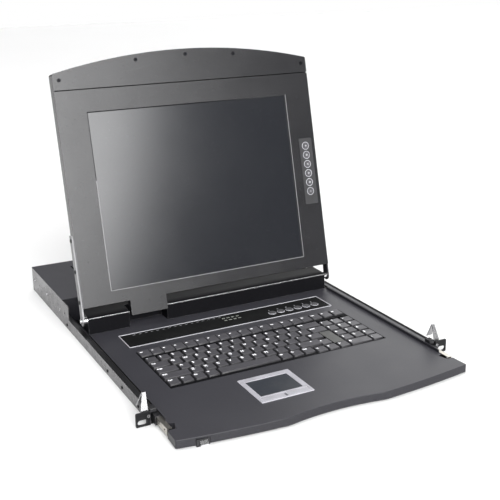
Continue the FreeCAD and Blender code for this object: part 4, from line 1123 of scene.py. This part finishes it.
def port_contacts(depth):
    """Three rows of contact pins on the insulator, the middle row shifted."""
    shape = settings().ports
    pins = []
    for row in range(PIN_ROWS):
        for column in range(PIN_COLUMNS):
            stagger = shape.pin_stagger if row == 1 else 0.0
            foot = Vector(((column - PIN_COLUMNS // 2 + stagger) * shape.pin_pitch,
                           depth - shape.rim, (row - PIN_ROWS // 2) * shape.pin_row))
            pin = rod(shape.pin, foot, shape.rim * shape.pin_reach, PIN_SIDES)
            pins.append(coated(pin, "gold"))
    return pins


def port_posts(panel):
    """The two hexagonal posts that the plug's screws go into, each with its hole."""
    shape = settings().ports
    posts = []
    for side in (-1, 1):
        foot = Vector((side * shape.post_reach, panel, 0.0))
        post = rod(shape.post, foot, shape.post_length, POST_SIDES)
        with editing(post):
            select_faces(post, lambda centre, normal: normal.y > NEARLY)
            bpy.ops.mesh.inset(thickness=shape.post * shape.post_hole)
            bpy.ops.mesh.inset(thickness=shape.post * shape.hole_taper, depth=-shape.post)
        posts.append(coated(post, "rail"))
    return posts


class ConsoleAddPortFaces(bpy.types.Operator):
    """Replace the plain computer ports by shells with contacts and hexagonal posts"""
    bl_idname = "console.add_port_faces"
    bl_label = "Computer ports"

    def execute(self, context):
        inner, panel = (corner.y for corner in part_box("rear_panel"))
        boxes = loose_boxes("computer_ports")
        low, high = boxes[0]
        half = (high - low) / 2
        depth = high.y - inner
        block = bar((-half.x, low.y - inner, -half.z), (half.x, 0.0, half.z))
        master = join([coated(block, "moulded"), port_shell(depth)] + port_contacts(depth)
                      + port_posts(panel - inner))
        faces = []
        for box in boxes:
            face = copy_of(master)
            place = middle(box)
            place.y = inner
            face.data.transform(Matrix.Translation(place))
            faces.append(face)
        bpy.data.objects.remove(master)
        ports = settle(join(faces), "port_faces", "root")
        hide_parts("computer_ports")
        return {"FINISHED"}


# ---- screws ------------------------------------------------------------------------------------
SCREW_BODIES = {"display_screws": "display", "rail_screws": "root", "chassis_fasteners": "root"}
RIM_CORNERS = 8


def head_of(points):
    """Middle, direction and radius of a screw's head: the wider of its round flat ends."""
    limits = settings().screws
    centre = sum(points, Vector()) / len(points)
    corners = [corner - centre for corner in points]
    best = None
    leaning = Matrix.Rotation(-DISPLAY_TILT, 3, "X") @ -FORWARD
    for axis in (Vector((1, 0, 0)), UP, leaning, -FORWARD):
        reach = [corner.dot(axis) for corner in corners]
        for sign in (-1, 1):
            end = max(sign * far for far in reach)
            rim = [corner - axis * far for corner, far in zip(corners, reach)
                   if sign * far > end - limits.flat_end]
            if len(rim) < RIM_CORNERS:
                continue
            hub = sum(rim, Vector()) / len(rim)
            radii = [(corner - hub).length for corner in rim]
            wider = best is None or max(radii) > best[2]
            if wider and max(radii) - min(radii) < limits.round_rim:
                best = (centre + hub + axis * end * sign, axis * sign, max(radii))
    return best


class ConsoleAddRecesses(bpy.types.Operator):
    """Dark crosses in the heads of the screws: painted shade in place of cross recesses"""
    bl_idname = "console.add_recesses"
    bl_label = "Screw recesses"

    def execute(self, context):
        look = settings().screws
        for node, body in SCREW_BODIES.items():
            marks = []
            for head in map(head_of, loose_points(node)):
                if head is None or head[2] > look.widest_head:
                    continue
                place, out, radius = head
                long, short = radius * look.cross_long, radius * look.cross_short
                turn = out.to_track_quat("Z", "Y").to_matrix().to_4x4()
                # Each cross is a thin dark bar on the head: painted shade of a recess.
                for x, y in ((long, short), (short, long)):
                    mark = bar((-x, -y, -look.recess_foot), (x, y, look.recess))
                    mark.matrix_world = Matrix.Translation(place) @ turn
                    marks.append(mark)
            if marks:
                settle(coated(join(marks), "pan_black"), "recesses_" + node, body)
        return {"FINISHED"}


# ---- stage -------------------------------------------------------------------------------------
# Soft lights: turn right of the front, height, inner and outer angle in degrees, strength.
STUDIO_LOBES = ((-6.2, 20.5, 23.6, 28.8, 9.0), (128.0, 26.0, 6.0, 38.0, 2.2),
                (-60.0, 40.0, 10.0, 60.0, 0.8))
FLOOR_SHADES = ((0.86, 0.86, 0.86), (0.88, 0.88, 0.88))
FLOOR_ROUGHNESS = 0.7
NEAREST, FARTHEST = 0.02, 60.0


def heading(azimuth, elevation):
    """Direction from its turn to the right of the front and its height angle, radians."""
    level = math.cos(elevation)
    return Vector((math.sin(azimuth) * level, -math.cos(azimuth) * level, math.sin(elevation)))


def lobe(tree, azimuth, elevation, inner, outer, strength):
    """A soft light far away: full within the inner angle of its direction, none past the outer."""
    where = tree.nodes.new("ShaderNodeTexCoord")
    facing = tree.nodes.new("ShaderNodeVectorMath")
    facing.operation = "DOT_PRODUCT"
    facing.inputs[1].default_value = heading(azimuth, elevation)
    tree.links.new(where.outputs["Generated"], facing.inputs[0])
    fall = spread(tree, facing.outputs["Value"], 0.0, strength, math.cos(outer), math.cos(inner))
    fall.node.interpolation_type = "SMOOTHSTEP"
    return fall


def studio_world():
    """Even white surround for the camera, and large soft lights for everything else."""
    world = bpy.data.worlds.new("studio")
    world.use_nodes = True
    tree = world.node_tree
    light = tree.nodes["Background"]
    seen = tree.nodes.new("ShaderNodeBackground")
    for shader in (light, seen):
        shader.inputs["Color"].default_value = (1.0, 1.0, 1.0, 1.0)
    lights = [lobe(tree, *map(math.radians, angles), strength)
              for *angles, strength in STUDIO_LOBES]
    feed(tree, light.inputs["Strength"], plus(tree, *lights, settings().studio.fill))
    rays = tree.nodes.new("ShaderNodeLightPath")
    mix = tree.nodes.new("ShaderNodeMixShader")
    tree.links.new(rays.outputs["Is Camera Ray"], mix.inputs["Fac"])
    tree.links.new(light.outputs["Background"], mix.inputs[1])
    tree.links.new(seen.outputs["Background"], mix.inputs[2])
    tree.links.new(mix.outputs["Shader"], tree.nodes["World Output"].inputs["Surface"])
    bpy.context.scene.world = world


def floor_material():
    material, tree, shader = new_material("pale_floor")
    cloud = noise(tree, object_coordinates(tree), 1.5, 3.0, 0.5)
    feed(tree, shader["Base Color"], mix_colour(tree, cloud, *FLOOR_SHADES))
    shader["Roughness"].default_value = FLOOR_ROUGHNESS
    return material


def studio_floor():
    """A wide level floor at the height of the drawer's lowest point."""
    deselect()
    bpy.ops.mesh.primitive_plane_add(size=settings().studio.floor_size,
                                     location=(0.0, 0.0, CAD_BOX[0].z))
    floor = fix_place(bpy.context.object)
    floor.name = "studio_floor"
    floor.data.materials.append(floor_material())


def softbox():
    """A square light over the drawer's back."""
    studio = settings().studio
    place = Vector(studio.softbox_place)
    data = bpy.data.lights.new("top_softbox", "AREA")
    data.size = studio.softbox_size
    data.energy = studio.softbox_power
    lamp = bpy.data.objects.new("top_softbox", data)
    bpy.context.scene.collection.objects.link(lamp)
    aim = Vector(studio.softbox_aim) - place
    turn = aim.to_track_quat("-Z", "Y").to_matrix().to_4x4()
    lamp.matrix_world = Matrix.Translation(place) @ turn


def studio_camera():
    """Camera from its turn, height angle, roll and place."""
    view = settings().studio
    azimuth, elevation, roll = map(math.radians, (view.azimuth, view.elevation, view.roll))
    back = heading(azimuth, elevation)
    right = Vector((math.cos(azimuth), math.sin(azimuth), 0.0))
    up = back.cross(right)
    level = right * math.cos(roll) + up * math.sin(roll)
    rise = up * math.cos(roll) - right * math.sin(roll)
    data = bpy.data.cameras.new("camera")
    data.lens = view.lens
    data.sensor_width = view.sensor
    data.shift_x = view.shift_x
    data.shift_y = view.shift_y
    data.clip_start = NEAREST
    data.clip_end = FARTHEST
    camera = bpy.data.objects.new("camera", data)
    bpy.context.scene.collection.objects.link(camera)
    turn = Matrix((level, rise, back)).transposed().to_4x4()
    camera.matrix_world = Matrix.Translation(view.place) @ turn
    bpy.context.scene.camera = camera


class ConsoleAddStage(bpy.types.Operator):
    """Pale floor, soft light and the camera"""
    bl_idname = "console.add_stage"
    bl_label = "Stage, light and camera"

    def execute(self, context):
        studio_floor()
        studio_world()
        softbox()
        studio_camera()
        context.scene.view_settings.view_transform = "Standard"
        context.scene.view_settings.look = "None"
        return {"FINISHED"}


class ConsolePanel(bpy.types.Panel):
    """Lists the operators of the console drawer"""
    bl_idname = "VIEW3D_PT_console_drawer"
    bl_label = "Console drawer"
    bl_space_type = "VIEW_3D"
    bl_region_type = "UI"
    bl_category = "Console"

    def draw(self, context):
        for operator in OPERATORS:
            self.layout.operator(operator.bl_idname)


SETTINGS = (ConsoleFinishSettings, ConsoleKeySettings, ConsoleDetailSettings, ConsolePortSettings,
            ConsoleScrewSettings, ConsoleStudioSettings, ConsoleSettings)
OPERATORS = (ConsolePaintFrame, ConsoleAddKeys, ConsoleAddLegends, ConsoleAddRings, ConsoleAddMarks,
             ConsoleAddScreenTrim, ConsoleAddBlankPlate, ConsoleAddBead, ConsoleAddPortFaces,
             ConsoleAddRecesses, ConsoleAddStage)


def register():
    for kind in SETTINGS + OPERATORS + (ConsolePanel,):
        bpy.utils.register_class(kind)
    bpy.types.Scene.console_drawer = PointerProperty(type=ConsoleSettings)


def unregister():
    del bpy.types.Scene.console_drawer
    for kind in reversed(SETTINGS + OPERATORS + (ConsolePanel,)):
        bpy.utils.unregister_class(kind)


def main():
    register()
    for operator in OPERATORS:
        group, name = operator.bl_idname.split(".")
        getattr(getattr(bpy.ops, group), name)()


if __name__ == "__main__":
    main()
